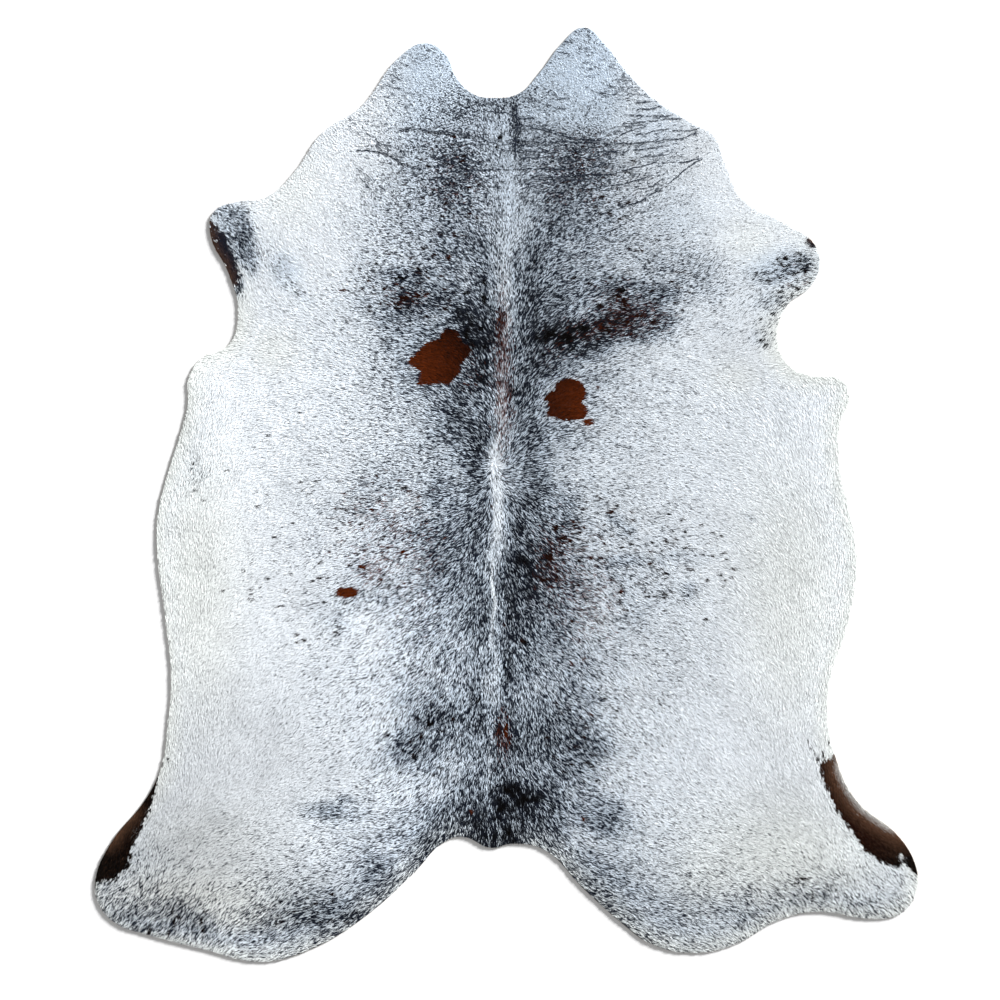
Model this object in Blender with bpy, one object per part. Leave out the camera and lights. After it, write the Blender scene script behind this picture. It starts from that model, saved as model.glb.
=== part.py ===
"""A whole cowhide rug with its hair on, laid flat: neck towards +Y, tail towards -Y, hair side up."""

import math

import bmesh
import bpy
from mathutils import Vector
from mathutils.kdtree import KDTree

MM = 0.001

# Driving sizes in metres. The origin is under the middle of the hide, on the floor.
HIDE_THICK = 0.0046  # tanned skin and the hair lying on it, over the back
RIM_THICK = 0.0032  # the same at the cut edge, where the hair thins
RIM_FADE = 0.120  # how far in from the edge the coat reaches its full depth
RIM_ROUND = 0.0012  # rounding of the upper edge

# The hair parts along the back in a low ridge.
SPINE_HEIGHT = 0.0008
SPINE_HALF_WIDTH = 0.030

# Soft troughs where the neck skin wrinkles.
CREASE_DEPTH = 0.0011
CREASE_HALF_WIDTH = 0.009
CREASE_REACH = 0.024  # faces this near to a crease are cut for it

# Slow swells of a hide that was dried on a frame.
SWELL_HEIGHT = 0.0004
SWELL_LENGTH = 0.46

GRID = 0.045  # spacing of the cuts that let the upper side bend
CURVE_STEPS = 5
MERGE = 0.00001
CUT_SNAP = 0.0006  # a corner this near to a cut counts as lying on it
HAIR_WHITE = (0.74, 0.77, 0.79, 1.0)

# The cut edge, clockwise from the notch of the neck, in millimetres from the middle of the hide.
OUTLINE = (
    # place, across, along
    ("neck notch", -34, 934),
    ("neck notch", 27, 943),
    ("right neck lobe", 82, 999),
    ("right neck lobe", 130, 1062),
    ("right neck tip", 182, 1100),
    ("right neck lobe", 229, 1064),
    ("right neck side", 283, 996),
    ("right neck side", 355, 926),
    ("right shoulder", 441, 872),
    ("right shoulder", 488, 845),
    ("right shoulder", 515, 783),
    ("right shoulder", 553, 699),
    ("right shoulder", 654, 640),
    ("right foreleg", 716, 600),
    ("right foreleg tip", 738, 551),
    ("right foreleg", 716, 490),
    ("right foreleg", 663, 448),
    ("right armpit", 638, 378),
    ("right armpit", 662, 308),
    ("right elbow", 716, 281),
    ("right elbow", 784, 274),
    ("right elbow", 808, 238),
    ("right belly", 786, 165),
    ("right belly", 786, 72),
    ("right belly", 814, -62),
    ("right belly", 826, -160),
    ("right belly", 806, -300),
    ("right flank", 762, -440),
    ("right flank", 758, -525),
    ("right hind leg", 776, -622),
    ("right hind leg", 826, -722),
    ("right hind leg", 917, -798),
    ("right hind leg", 962, -870),
    ("right hind foot", 966, -928),
    ("right hind foot", 936, -981),
    ("right hind foot", 868, -999),
    ("right hind leg", 735, -982),
    ("right hind leg", 652, -997),
    ("right rump", 532, -1061),
    ("right rump", 428, -1079),
    ("right rump", 328, -1052),
    ("right rump", 277, -1014),
    ("right rump", 176, -923),
    ("tail root", 87, -835),
    ("tail root", 10, -822),
    ("tail root", -36, -832),
    ("tail root", -106, -805),
    ("tail root", -150, -820),
    ("left rump", -215, -888),
    ("left rump", -352, -1008),
    ("left rump", -470, -1074),
    ("left hind foot", -578, -1100),
    ("left hind foot", -716, -1070),
    ("left hind foot", -852, -1034),
    ("left hind foot", -916, -1012),
    ("left hind foot", -958, -968),
    ("left hind leg", -968, -912),
    ("left hind leg", -933, -823),
    ("left hind leg", -846, -712),
    ("left hind leg", -811, -635),
    ("left flank", -798, -540),
    ("left flank", -790, -450),
    ("left belly", -806, -270),
    ("left belly", -822, -145),
    ("left belly", -822, -50),
    ("left belly", -795, 60),
    ("left belly", -758, 180),
    ("left elbow", -750, 226),
    ("left elbow", -750, 266),
    ("left elbow", -722, 318),
    ("left armpit", -652, 354),
    ("left armpit", -632, 428),
    ("left foreleg", -654, 520),
    ("left foreleg", -697, 612),
    ("left foreleg tip", -690, 664),
    ("left foreleg", -632, 690),
    ("left shoulder", -566, 700),
    ("left shoulder", -494, 766),
    ("left shoulder", -436, 850),
    ("left neck side", -341, 914),
    ("left neck lobe", -248, 1034),
    ("left neck lobe", -192, 1063),
    ("left neck lobe", -144, 1038),
    ("left neck lobe", -118, 982),
    ("neck notch", -76, 942),
)

# The line of the back, from the neck to the tail root.
SPINE = (
    # place, across, along
    ("neck", 14, 930),
    ("withers", 4, 730),
    ("shoulders", 2, 480),
    ("whorl", -16, 40),
    ("saddle", -26, -240),
    ("rump", -34, -560),
    ("tail root", -40, -820),
)

# Wrinkles across the neck, each from end to end through its middle.
CREASES = (
    # place, left across, left along, middle across, middle along, right across, right along
    ("upper left neck", -253, 855, -166, 848, -15, 829),
    ("upper right neck", 22, 829, 126, 811, 314, 820),
    ("middle neck", -69, 759, 160, 764, 441, 792),
    ("lower neck", 32, 728, 120, 742, 240, 752),
    ("right neck base", 262, 667, 340, 693, 424, 746),
    ("left neck base", -353, 812, -298, 803, -229, 768),
)


def flat_line(rows):
    """The points of a table of places, in metres and flat on the floor."""
    return [Vector((across * MM, along * MM, 0.0)) for place, across, along in rows]


def crease_lines():
    """Each wrinkle as the three points it runs through."""
    lines = []
    for place, *numbers in CREASES:
        pairs = zip(numbers[0::2], numbers[1::2])
        lines.append([Vector((across * MM, along * MM, 0.0)) for across, along in pairs])
    return lines


def distance_to_line(spot, line):
    """How far a spot lies from a line of points, measured flat on the floor."""
    nearest = math.inf
    for start, end in zip(line, line[1:]):
        run = end - start
        share = max(0.0, min(1.0, (spot - start).dot(run) / run.length_squared))
        nearest = min(nearest, (spot - start - run * share).length)
    return nearest


def hump(distance, half_width):
    """A smooth bump: 1 on the line, 0 from half_width on."""
    share = min(1.0, distance / half_width)
    return (1.0 - share * share) ** 2


def coat_height(spot, edge_distance, spine, creases):
    """Height of the hair's surface above the floor."""
    fade = min(1.0, edge_distance / RIM_FADE)
    fade = fade * (2.0 - fade)
    height = RIM_THICK + (HIDE_THICK - RIM_THICK) * fade
    height += fade * SPINE_HEIGHT * hump(distance_to_line(spot, spine), SPINE_HALF_WIDTH)
    turn = 2.0 * math.pi / SWELL_LENGTH
    height += fade * SWELL_HEIGHT * math.sin(turn * spot.x + 0.6) * math.cos(0.8 * turn * spot.y)
    for crease in creases:
        height -= CREASE_DEPTH * hump(distance_to_line(spot, crease), CREASE_HALF_WIDTH)
    return height


def hide_blank(collection):
    """The hide's outline as a slab, made from a filled flat curve."""
    curve = bpy.data.curves.new("hide_outline", "CURVE")
    curve.dimensions = "2D"
    curve.fill_mode = "BOTH"
    curve.extrude = RIM_THICK / 2
    curve.resolution_u = CURVE_STEPS
    spline = curve.splines.new("BEZIER")
    spline.bezier_points.add(len(OUTLINE) - 1)
    for point, spot in zip(spline.bezier_points, flat_line(OUTLINE)):
        point.co = spot
        point.handle_left_type = "AUTO"
        point.handle_right_type = "AUTO"
    spline.use_cyclic_u = True
    guide = bpy.data.objects.new("hide_outline", curve)
    collection.objects.link(guide)
    bpy.context.view_layer.update()
    evaluated = guide.evaluated_get(bpy.context.evaluated_depsgraph_get())
    mesh = bpy.data.meshes.new_from_object(evaluated)
    bpy.data.objects.remove(guide)
    bpy.data.curves.remove(curve)
    mesh.name = "hide"
    return mesh


def upward_faces(bm):
    """The level faces of the hair side."""
    return [face for face in bm.faces if face.normal.z > 0.99]


def merge_cap(bm, direction):
    """Makes the many triangles of one flat side a single face."""
    cap = [face for face in bm.faces if face.normal.z * direction > 0.9]
    bmesh.ops.dissolve_faces(bm, faces=cap, use_verts=False)


def cut_upper_side(bm, faces, point, normal):
    """Cuts some faces of the upper side along an upright plane."""
    edges = {edge for face in faces for edge in face.edges}
    verts = {vert for face in faces for vert in face.verts}
    geometry = list(verts) + list(edges) + list(faces)
    bmesh.ops.bisect_plane(bm, geom=geometry, dist=CUT_SNAP, plane_co=point, plane_no=normal)


def cut_grid(bm):
    """Cuts the upper side across and along, so that it can bend."""
    reach_x = max(abs(across) for place, across, along in OUTLINE) * MM
    reach_y = max(abs(along) for place, across, along in OUTLINE) * MM
    for reach, axis in ((reach_x, Vector((1, 0, 0))), (reach_y, Vector((0, 1, 0)))):
        count = int(reach / GRID)
        for step in range(-count, count + 1):
            cut_upper_side(bm, upward_faces(bm), axis * GRID * step, axis)


def cut_along_line(bm, line, half_width, reach):
    """Cuts the faces near a line along its middle and along both its sides."""
    for start, end in zip(line, line[1:]):
        run = (end - start).normalized()
        side = Vector((-run.y, run.x, 0.0))
        for offset in (-half_width, 0.0, half_width):
            near = []
            for face in upward_faces(bm):
                spot = face.calc_center_median()
                spot.z = 0.0
                if distance_to_line(spot, (start, end)) < reach:
                    near.append(face)
            cut_upper_side(bm, near, start + side * offset, side)


def shape_upper_side(bm, rim_spots, spine, creases):
    """Lifts the upper side to the height of the hair."""
    rim = KDTree(len(rim_spots))
    for index, spot in enumerate(rim_spots):
        rim.insert(spot, index)
    rim.balance()
    top = {vert for face in upward_faces(bm) for vert in face.verts}
    for vert in top:
        spot = Vector((vert.co.x, vert.co.y, 0.0))
        edge_distance = rim.find(spot)[2]
        if edge_distance > 2.0 * RIM_ROUND:
            vert.co.z = coat_height(spot, edge_distance, spine, creases)


def centre_on_origin(bm):
    """Puts the middle of the hide over the origin."""
    for axis in (0, 1):
        ends = [vert.co[axis] for vert in bm.verts]
        shift = Vector((0.0, 0.0, 0.0))
        shift[axis] = -(min(ends) + max(ends)) / 2
        bmesh.ops.translate(bm, verts=bm.verts, vec=shift)


def make_hide(collection):
    """The hide: a flat underside, a rounded upper edge and a gently uneven hair side."""
    spine = flat_line(SPINE)
    creases = crease_lines()
    mesh = hide_blank(collection)
    bm = bmesh.new()
    bm.from_mesh(mesh)
    bmesh.ops.remove_doubles(bm, verts=bm.verts, dist=MERGE)
    bmesh.ops.recalc_face_normals(bm, faces=bm.faces)
    merge_cap(bm, 1)
    merge_cap(bm, -1)
    bmesh.ops.translate(bm, verts=bm.verts, vec=(0.0, 0.0, RIM_THICK / 2))
    rim_spots = [Vector((vert.co.x, vert.co.y, 0.0)) for vert in bm.verts if vert.co.z < MERGE]
    rim_edges = list({edge for face in upward_faces(bm) for edge in face.edges})
    bmesh.ops.bevel(
        bm, geom=rim_edges, offset=RIM_ROUND, segments=2, profile=0.5, affect="EDGES", material=-1
    )
    cut_grid(bm)
    cut_along_line(bm, spine, SPINE_HALF_WIDTH, SPINE_HALF_WIDTH + GRID)
    for crease in creases:
        cut_along_line(bm, crease, CREASE_HALF_WIDTH, CREASE_REACH)
    shape_upper_side(bm, rim_spots, spine, creases)
    bmesh.ops.triangulate(bm, faces=bm.faces, quad_method="BEAUTY", ngon_method="BEAUTY")
    centre_on_origin(bm)
    bm.to_mesh(mesh)
    bm.free()
    mesh.shade_smooth()
    hide = bpy.data.objects.new("hide", mesh)
    collection.objects.link(hide)
    return hide


def hair_material():
    """White hair, dull and not metallic."""
    material = bpy.data.materials.new("hide_hair")
    material.use_nodes = True
    shader = material.node_tree.nodes["Principled BSDF"]
    shader.inputs["Base Color"].default_value = HAIR_WHITE
    shader.inputs["Roughness"].default_value = 0.7
    shader.inputs["Metallic"].default_value = 0.0
    material.diffuse_color = HAIR_WHITE
    return material


def main():
    for old in list(bpy.data.objects):
        bpy.data.objects.remove(old)
    collection = bpy.data.collections.new("cowhide_rug")
    bpy.context.scene.collection.children.link(collection)
    hide = make_hide(collection)
    hide.data.materials.append(hair_material())


main()
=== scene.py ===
"""Cowhide rug: the tanned skin with its suede underside, and the short hair combed over it."""

import math

import bmesh
import bpy
import numpy as np
from bpy.props import FloatProperty, FloatVectorProperty, IntProperty, PointerProperty
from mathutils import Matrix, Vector
from mathutils.bvhtree import BVHTree


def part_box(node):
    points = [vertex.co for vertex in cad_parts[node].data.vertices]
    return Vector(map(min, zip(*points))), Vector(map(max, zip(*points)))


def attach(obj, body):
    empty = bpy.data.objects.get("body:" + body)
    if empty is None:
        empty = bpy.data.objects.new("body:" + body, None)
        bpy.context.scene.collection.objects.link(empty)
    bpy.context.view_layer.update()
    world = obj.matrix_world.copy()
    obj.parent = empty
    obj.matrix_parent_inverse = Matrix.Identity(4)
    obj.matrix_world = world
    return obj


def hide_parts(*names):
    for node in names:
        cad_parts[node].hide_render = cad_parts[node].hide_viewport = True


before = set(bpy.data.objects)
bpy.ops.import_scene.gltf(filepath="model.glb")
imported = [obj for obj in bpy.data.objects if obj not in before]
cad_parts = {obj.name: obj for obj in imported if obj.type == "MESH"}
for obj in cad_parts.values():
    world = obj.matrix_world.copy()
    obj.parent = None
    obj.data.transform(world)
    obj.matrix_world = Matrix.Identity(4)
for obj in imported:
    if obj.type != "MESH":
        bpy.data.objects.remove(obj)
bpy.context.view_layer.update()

bl_info = {
    "name": "Cowhide Rug",
    "version": (1, 0, 0),
    "blender": (4, 5, 0),
    "location": "View3D > Sidebar > Rug",
    "description": "Builds a hair-on cowhide rug around its packed solid",
    "category": "Object",
}

HIDE_LOW, HIDE_HIGH = (Vector(corner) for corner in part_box("hide"))

MM = 0.001

# The coat is charted in squares, each one pixel of the photograph, counted from its left and its top.
CHART_LENGTH = 935.0  # squares from the neck tip down to the hind foot
CHART_MIDDLE = (506.5, 494.5)  # the square over the middle of the hide
SQUARE = (HIDE_HIGH.y - HIDE_LOW.y) / CHART_LENGTH

SKIN_SEED, HAIR_SEED, MARK_SEED, LINE_SEED = 11, 12, 13, 14

# The skin.
RIM_TOP = HIDE_LOW.z + 2.4 * MM  # where hair past the rim is taken to stand
FLOOR_TOUCH = 0.05 * MM  # points no higher than this lie on the floor
DOUBLES = 0.01 * MM  # points closer than this count as one
FINE_EDGE = 20 * MM  # longer edges of the upper side are cut in three
TOP_TURN = 0.35  # faces that look up more than this carry hair
RIPPLE_SIZE = 90 * MM

# The map of the skin's height, measured from above.
LOOK_FROM = 50 * MM
MAP_STEP = 4 * MM
MAP_SPARE = 4  # columns and rows more than the hide is wide and long
MAP_PARTS = 24
NOISE_MARGIN = 60 * MM

# The share of dark hair.
PATCH_FADE = 1.2  # how soon a soft patch fades out from its middle
PATCH_EDGE = 2.6  # how hard its edge is: 2 would be a bell
PATCH_WANDER = 8 * MM
PATCH_WANDER_SIZE = 45 * MM
MOTTLE = (
    # lump size, strength
    (70 * MM, 0.08),
    (26 * MM, 0.10),
    (11 * MM, 0.18),
)
MOTTLE_FLOOR = 0.035  # the mottling that is there without any dark hair
DARK_GAIN = 0.12  # dark hair added where light and dark are mixed

# How long the hair is, against the flanks, how far it strays from its lie, and how mixed a tuft is.
GROWTH = (
    # squares down, share of length, share of straying, share of hairs with a tone of their own
    (90, 0.60, 3.0, 0.15),
    (180, 0.66, 2.6, 0.15),
    (240, 0.88, 1.6, 0.12),
    (300, 1.00, 1.0, 0.12),
    (860, 1.05, 1.0, 0.12),
    (940, 1.25, 1.0, 0.12),
)

# The tufts and their hairs.
HAIR_PIECES = ("hair_neck", "hair_shoulders", "hair_saddle", "hair_flanks", "hair_rump")
TUFT_REACH = 1.6 * MM  # half the length of the patch that a tuft's roots stand in
TUFT_SPREAD = 0.5 * MM  # half its width
TUFT_FLOAT = 1.1 * MM  # how high the highest tufts lie over the lowest
ROOT_DEPTH = 0.2 * MM
HAIR_FAN = math.radians(4)
HAIR_ROLL = math.radians(8)
HAIR_SPAN = (0.8, 1.2)  # shortest and longest hair of a tuft, against its mean
LIFT_SPAN = (0.6, 1.4)  # lowest and highest tip, against the mean
SHORTEST = 0.15  # of a hair's length, where it is drawn back at the rim
RIM_CLEAR = 1.0 * MM
WAVE = math.radians(14)
WAVE_SIZE = 45 * MM

# The coat's map, where every hair has its own square cell.
MAP_CELLS = 512
MAP_CORNERS = ((0.4, 0.4), (1.7, 0.4), (0.4, 1.7))  # of a cell two units wide

# The stray of the coat's colours.
MARK_FRAY = 1.3 * MM
FRAY_SIZE = 6 * MM
MARK_BOX = 10 * MM  # how far past its outline a mark is looked for
FADE_STRAY = 0.06
RIM_HIGHLIGHT = 0.85  # painted highlight: how light the palest hair of a black patch is drawn, where its rim is lit
SHADE_STRAY = 0.026
SHADE_MOTTLE = 0.04
SHADE_SIZE = 30 * MM
HAIR_SHADE = 0.035

# The hairs of the fine lines of the neck: partly dark hair showing where the hair parts over a wrinkle,
# partly painted shadow of the wrinkle.
LINE_STEP = 1.0 * MM
LINE_REACH = 1.9 * MM
LINE_SHARE = 0.36
LINE_HAIR = 4.2 * MM  # length of a hair
LINE_WIDTH = 1.9 * MM
LINE_SPREAD = 0.5 * MM
LINE_STRAY = math.radians(16)
LINE_DARK = 0.6  # how dark the faintest line is
LINE_SPAN = (0.6, 1.1)  # faintest and strongest hair of a line, against the line
LINE_WANDER = 2.0 * MM
LINE_WANDER_SIZE = 14 * MM
LINE_BREAK_SIZE = 8 * MM
LINE_BREAKS = 1.0  # how strongly a line comes and goes
DASHES = 900  # short dashes strewn beside the lines
DASH_HAIRS = 3
DASH_STEP = 2.5 * MM
DASH_SPREAD = 11 * MM
DASH_SPAN = (0.1, 0.8)  # faintest and strongest dash beside a line, against the line

# The grain of the hair's and the suede's colour, in lumps a metre.
COAT_GRAIN = (60.0, 700.0)
COAT_SWING = 0.10
UNDERCOAT_PAINTED_SHADE = -0.25  # painted shade: how much darker the skin seen between the tufts is drawn than the hair on it
SUEDE_GRAIN = (9.0, 420.0)
VEIN_GRAIN = 26.0
VEIN_SHARPNESS = 9.0
VEIN_SHARE = 0.35

# The stage.
FLOOR_HALF = 8.0
FLOOR_GAP = 0.3 * MM
KEY_SOFTNESS = math.radians(12)
KEY_BEARING = math.radians(40)
PICTURE = 1000  # squares that the picture shows each way
SENSOR = 36  # millimetres

NODE_STEP = (220, -260)
NODE_ROW = 8  # nodes that stand in a row
MIX_FACTOR, MIX_FIRST, MIX_SECOND, MIX_RESULT = 0, 6, 7, 2  # the sockets of a Mix node for colours


# The line of the back.
SPINE = (
    # right, down
    (512, 98), (508, 184), (507, 290), (503, 383), (497, 471), (496, 600), (494, 713), (490, 848),
)

# How thickly the dark hairs stand, by the distance from the back.
PEPPER_BY_REACH = (
    # squares from the back, share of dark hair
    (0, 0.36), (45, 0.36), (75, 0.29), (110, 0.19), (150, 0.11), (200, 0.06), (250, 0.03), (320, 0.015),
)

# How dark the hair looks: the light hair, the dark hair, and how smoky the dark hair still is.
TONES = (
    # share of dark hair, darkness of light hair, darkness of dark hair, smoke
    (0.00, 0.00, 0.30, 1.0),
    (0.07, 0.00, 0.56, 1.0),
    (0.15, 0.00, 0.76, 1.0),
    (0.22, 0.00, 0.84, 1.0),
    (0.50, 0.04, 0.91, 1.0),
    (0.75, 0.15, 0.96, 0.6),
    (0.90, 0.42, 0.98, 0.2),
    (1.00, 0.85, 1.00, 0.0),
)
TONE_CURVE = 2.2

# More dark hairs low on the hind legs.
PEPPER_BY_LEVEL = (
    # squares down, share of dark hair
    (790, 0.0), (860, 0.07), (900, 0.17), (950, 0.26),
)

# Patches of dark hair, and one of painted shadow at the rim of the right hind foot. A turn is clockwise,
# from upright.
DARK_HAIR_AND_RIM_SHADOW = {
    # where: patches as (right, down, half along, half across, turn, share of dark hair)
    "neck": (
        (445, 158, 56, 42, 0, 0.19), (456, 176, 40, 20, 0, 0.29), (590, 172, 48, 52, 0, 0.2),
        (576, 168, 44, 24, 25, 0.27), (515, 118, 30, 6, -4, 0.65), (518, 146, 6, 10, 0, 0.45),
        (506, 104, 9, 13, 0, 0.4), (395, 205, 30, 30, 0, 0.1), (472, 110, 10, 36, 0, 0.25),
        (422, 152, 8, 20, 0, 0.1),
    ),
    "shoulders": (
        (440, 222, 45, 45, 0, 0.17), (425, 264, 30, 40, 0, 0.11), (477, 262, 46, 11, 0, 0.31),
        (533, 270, 62, 17, 0, 0.42), (535, 316, 24, 24, 0, 0.44), (572, 224, 42, 36, 0, 0.32),
        (570, 278, 22, 40, 0, 0.19), (640, 236, 45, 60, 0, 0.18), (690, 262, 16, 40, 0, 0.18),
        (695, 286, 20, 48, 0, 0.23), (446, 254, 8, 12, 0, 0.25), (368, 244, 34, 28, 0, 0.07),
        (574, 236, 16, 30, 0, 0.2), (510, 272, 30, 8, 0, 0.34),
    ),
    "forelegs and chest": (
        (798, 264, 14, 20, 0, 0.24), (786, 284, 24, 34, 0, 0.16), (764, 278, 7, 14, -10, 0.34),
        (806, 262, 12, 14, -30, 0.3), (764, 340, 10, 12, 0, 0.24), (243, 236, 27, 12, -12, 0.62),
        (247, 262, 14, 9, -25, 0.3), (226, 212, 10, 20, 0, 0.42), (288, 280, 28, 9, -42, 0.21),
        (272, 250, 18, 26, 0, 0.09), (228, 240, 20, 7, -20, 0.44), (238, 282, 14, 4, -12, 0.4),
        (772, 303, 10, 26, 0, 0.22), (770, 318, 12, 12, 0, 0.1), (237, 290, 8, 5, 0, 0.62),
    ),
    "shoulder band": (
        (550, 338, 16, 26, 0, 0.64), (578, 333, 14, 29, 12, 0.93), (620, 312, 24, 32, 20, 0.66),
        (658, 320, 14, 26, 0, 0.49), (622, 286, 10, 26, 0, 0.46), (658, 296, 12, 26, 0, 0.53),
        (576, 350, 12, 38, 0, 0.43), (600, 378, 18, 34, 0, 0.08), (552, 366, 18, 24, 0, 0.36),
        (606, 324, 14, 20, 0, 0.68), (562, 304, 22, 26, 0, 0.42), (640, 268, 14, 38, 0, 0.09),
        (526, 346, 12, 14, 0, 0.38), (636, 334, 9, 38, 0, 0.38), (600, 348, 12, 16, 0, 0.2),
        (548, 288, 12, 10, 0, 0.18),
    ),
    "left cluster": (
        (409, 303, 18, 22, 0, 0.54), (402, 277, 8, 28, 0, 0.4), (400, 290, 32, 50, 0, 0.18),
        (450, 298, 18, 24, 0, 0.38), (375, 322, 36, 34, 0, 0.05), (366, 300, 18, 24, 0, 0.08),
    ),
    "round the spots": (
        (480, 375, 26, 18, 0, 0.7), (428, 358, 44, 48, 0, 0.38), (457, 388, 7, 12, 0, 0.3),
        (461, 316, 12, 14, 0, 0.45), (592, 392, 28, 10, 0, 0.1), (388, 326, 14, 14, 0, 0.16),
    ),
    "back": (
        (478, 335, 26, 24, 0, 0.76), (530, 366, 22, 20, 0, 0.4), (518, 392, 24, 22, 0, 0.5),
        (461, 416, 30, 20, 0, 0.58), (476, 452, 30, 15, 0, 0.48), (474, 506, 50, 16, 0, 0.34),
        (530, 432, 38, 20, 0, 0.42), (532, 496, 42, 20, 0, 0.35), (500, 318, 16, 7, 0, 0.5),
        (510, 344, 16, 7, 0, 0.44), (484, 424, 24, 10, 0, 0.28), (522, 502, 8, 26, 0, 0.25),
        (487, 296, 44, 9, 0, 0.34), (440, 490, 22, 14, 0, 0.26), (556, 426, 14, 13, 0, 0.18),
        (438, 420, 22, 13, 0, 0.19), (501, 356, 32, 5, 0, 0.32), (511, 386, 10, 8, 0, 0.24),
        (464, 338, 10, 8, 0, 0.3), (496, 468, 26, 22, 0, 0.06),
    ),
    "saddle": (
        (547, 560, 46, 26, 0, 0.54), (566, 512, 28, 14, 0, 0.27), (519, 592, 70, 22, 0, 0.63),
        (530, 652, 40, 32, 0, 0.2), (451, 554, 48, 30, 0, 0.46), (402, 528, 26, 34, 0, 0.15),
        (432, 620, 50, 40, 0, 0.1), (479, 610, 54, 14, 0, 0.48), (560, 618, 32, 22, 0, 0.27),
        (572, 660, 30, 30, 0, 0.14), (584, 584, 24, 18, 0, 0.17), (486, 622, 34, 5, 0, 0.15),
        (520, 534, 22, 11, 0, 0.46), (425, 636, 12, 14, 0, 0.14), (425, 534, 12, 14, 0, 0.14),
        (506, 606, 32, 5, 0, 0.36), (455, 508, 16, 9, 0, 0.24),
    ),
    "sides": (
        (360, 580, 50, 45, 0, 0.06), (196, 470, 16, 14, 0, 0.1), (385, 482, 20, 24, 0, 0.12),
        (352, 510, 18, 30, 0, 0.12), (615, 520, 8, 8, 0, 0.3), (628, 532, 8, 9, 0, 0.3),
        (622, 562, 7, 30, 0, 0.28), (685, 558, 8, 26, 0, 0.14), (690, 592, 10, 9, 0, 0.22),
        (752, 517, 6, 8, 0, 0.12), (735, 322, 22, 50, 0, 0.05), (358, 485, 18, 12, 0, 0.1),
        (316, 540, 18, 10, 0, 0.08), (370, 572, 12, 22, 0, 0.08), (333, 622, 16, 20, 0, 0.13),
        (640, 585, 26, 40, 0, 0.1), (634, 616, 18, 16, 0, 0.13), (662, 562, 50, 44, 0, 0.05),
        (655, 655, 50, 60, 0, 0.045), (385, 555, 60, 50, 0, 0.03), (350, 690, 70, 60, 0, 0.03),
        (366, 600, 16, 38, 0, 0.15), (613, 578, 10, 14, 0, 0.12), (312, 522, 40, 26, 0, 0.03),
        (362, 566, 30, 26, 0, 0.05),
    ),
    "loin": (
        (475, 692, 17, 8, 0, 0.45), (452, 682, 40, 28, 0, 0.05), (506, 668, 42, 7, 0, 0.36),
        (572, 680, 20, 24, 0, 0.14), (415, 700, 44, 22, 0, 0.12), (400, 700, 12, 14, 0, 0.1),
        (590, 697, 8, 12, 0, 0.18), (495, 664, 28, 8, 0, 0.1),
    ),
    "rump": (
        (436, 716, 11, 24, 0, 0.5), (406, 746, 18, 22, 20, 0.38), (435, 732, 38, 38, 0, 0.26),
        (474, 718, 22, 13, 0, 0.42), (568, 736, 40, 44, 0, 0.41), (546, 718, 18, 26, 0, 0.24),
        (597, 748, 14, 18, 0, 0.28), (510, 742, 34, 20, 0, 0.48), (476, 778, 22, 20, 0, 0.33),
        (496, 738, 30, 6, 0, 0.5), (390, 760, 14, 30, 0, 0.16), (545, 750, 16, 30, 0, 0.16),
        (440, 736, 15, 22, 0, 0.18), (432, 766, 10, 15, 0, 0.14), (482, 738, 28, 12, 0, 0.16),
        (510, 706, 13, 8, 0, 0.26), (555, 812, 16, 18, 0, 0.12),
    ),
    "tail": (
        (503, 804, 28, 18, 0, 0.74), (526, 806, 30, 32, 0, 0.74), (552, 806, 24, 26, 0, 0.36),
        (480, 822, 18, 20, 0, 0.52), (442, 823, 16, 28, 0, 0.38), (498, 840, 14, 28, 0, 0.72),
        (562, 846, 14, 28, 20, 0.32), (604, 820, 26, 25, 0, 0.27), (466, 790, 20, 15, 0, 0.34),
        (572, 768, 12, 30, 0, 0.2), (588, 796, 24, 14, 0, 0.24), (458, 812, 14, 28, 0, 0.28),
        (460, 838, 9, 30, 0, 0.46), (464, 755, 16, 12, 0, 0.26),
    ),
    "thighs and hocks": (
        (420, 862, 14, 30, 55, 0.32), (612, 876, 30, 36, 30, 0.21), (376, 880, 26, 26, -30, 0.34),
        (318, 918, 22, 46, 0, 0.41), (698, 912, 22, 60, 0, 0.15), (328, 812, 12, 30, 0, 0.32),
        (345, 798, 5, 10, 0, 0.25), (616, 820, 18, 22, 0, 0.26), (430, 847, 10, 18, 45, 0.36),
        (350, 912, 10, 36, 50, 0.32), (388, 852, 24, 26, 0, 0.22), (586, 858, 16, 18, 0, 0.2),
        (350, 826, 40, 30, 0, 0.05), (600, 900, 10, 26, 50, 0.28), (408, 814, 14, 22, 0, 0.12),
        (560, 815, 18, 34, 0, 0.08),
    ),
    "hind feet": (
        (178, 914, 17, 50, 20, 0.43), (276, 922, 22, 48, 0, 0.32), (140, 876, 36, 40, 30, 0.11),
        (800, 890, 18, 42, 0, 0.13), (190, 935, 8, 60, 12, 0.2), (120, 914, 22, 34, 30, 0.29),
        (735, 905, 20, 42, 0, 0.05), (270, 890, 14, 56, 0, 0.11), (108, 886, 9, 18, 0, 0.22),
        # The patch at (865, 908) is painted shadow at the rim of the right hind foot, drawn as dark hair.
        (746, 916, 8, 34, 0, 0.12), (148, 924, 10, 24, 10, 0.22), (865, 908, 8, 24, 0, 0.11),
        (810, 902, 14, 60, 0, 0.1), (336, 912, 20, 26, 0, 0.05),
    ),
}

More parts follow.
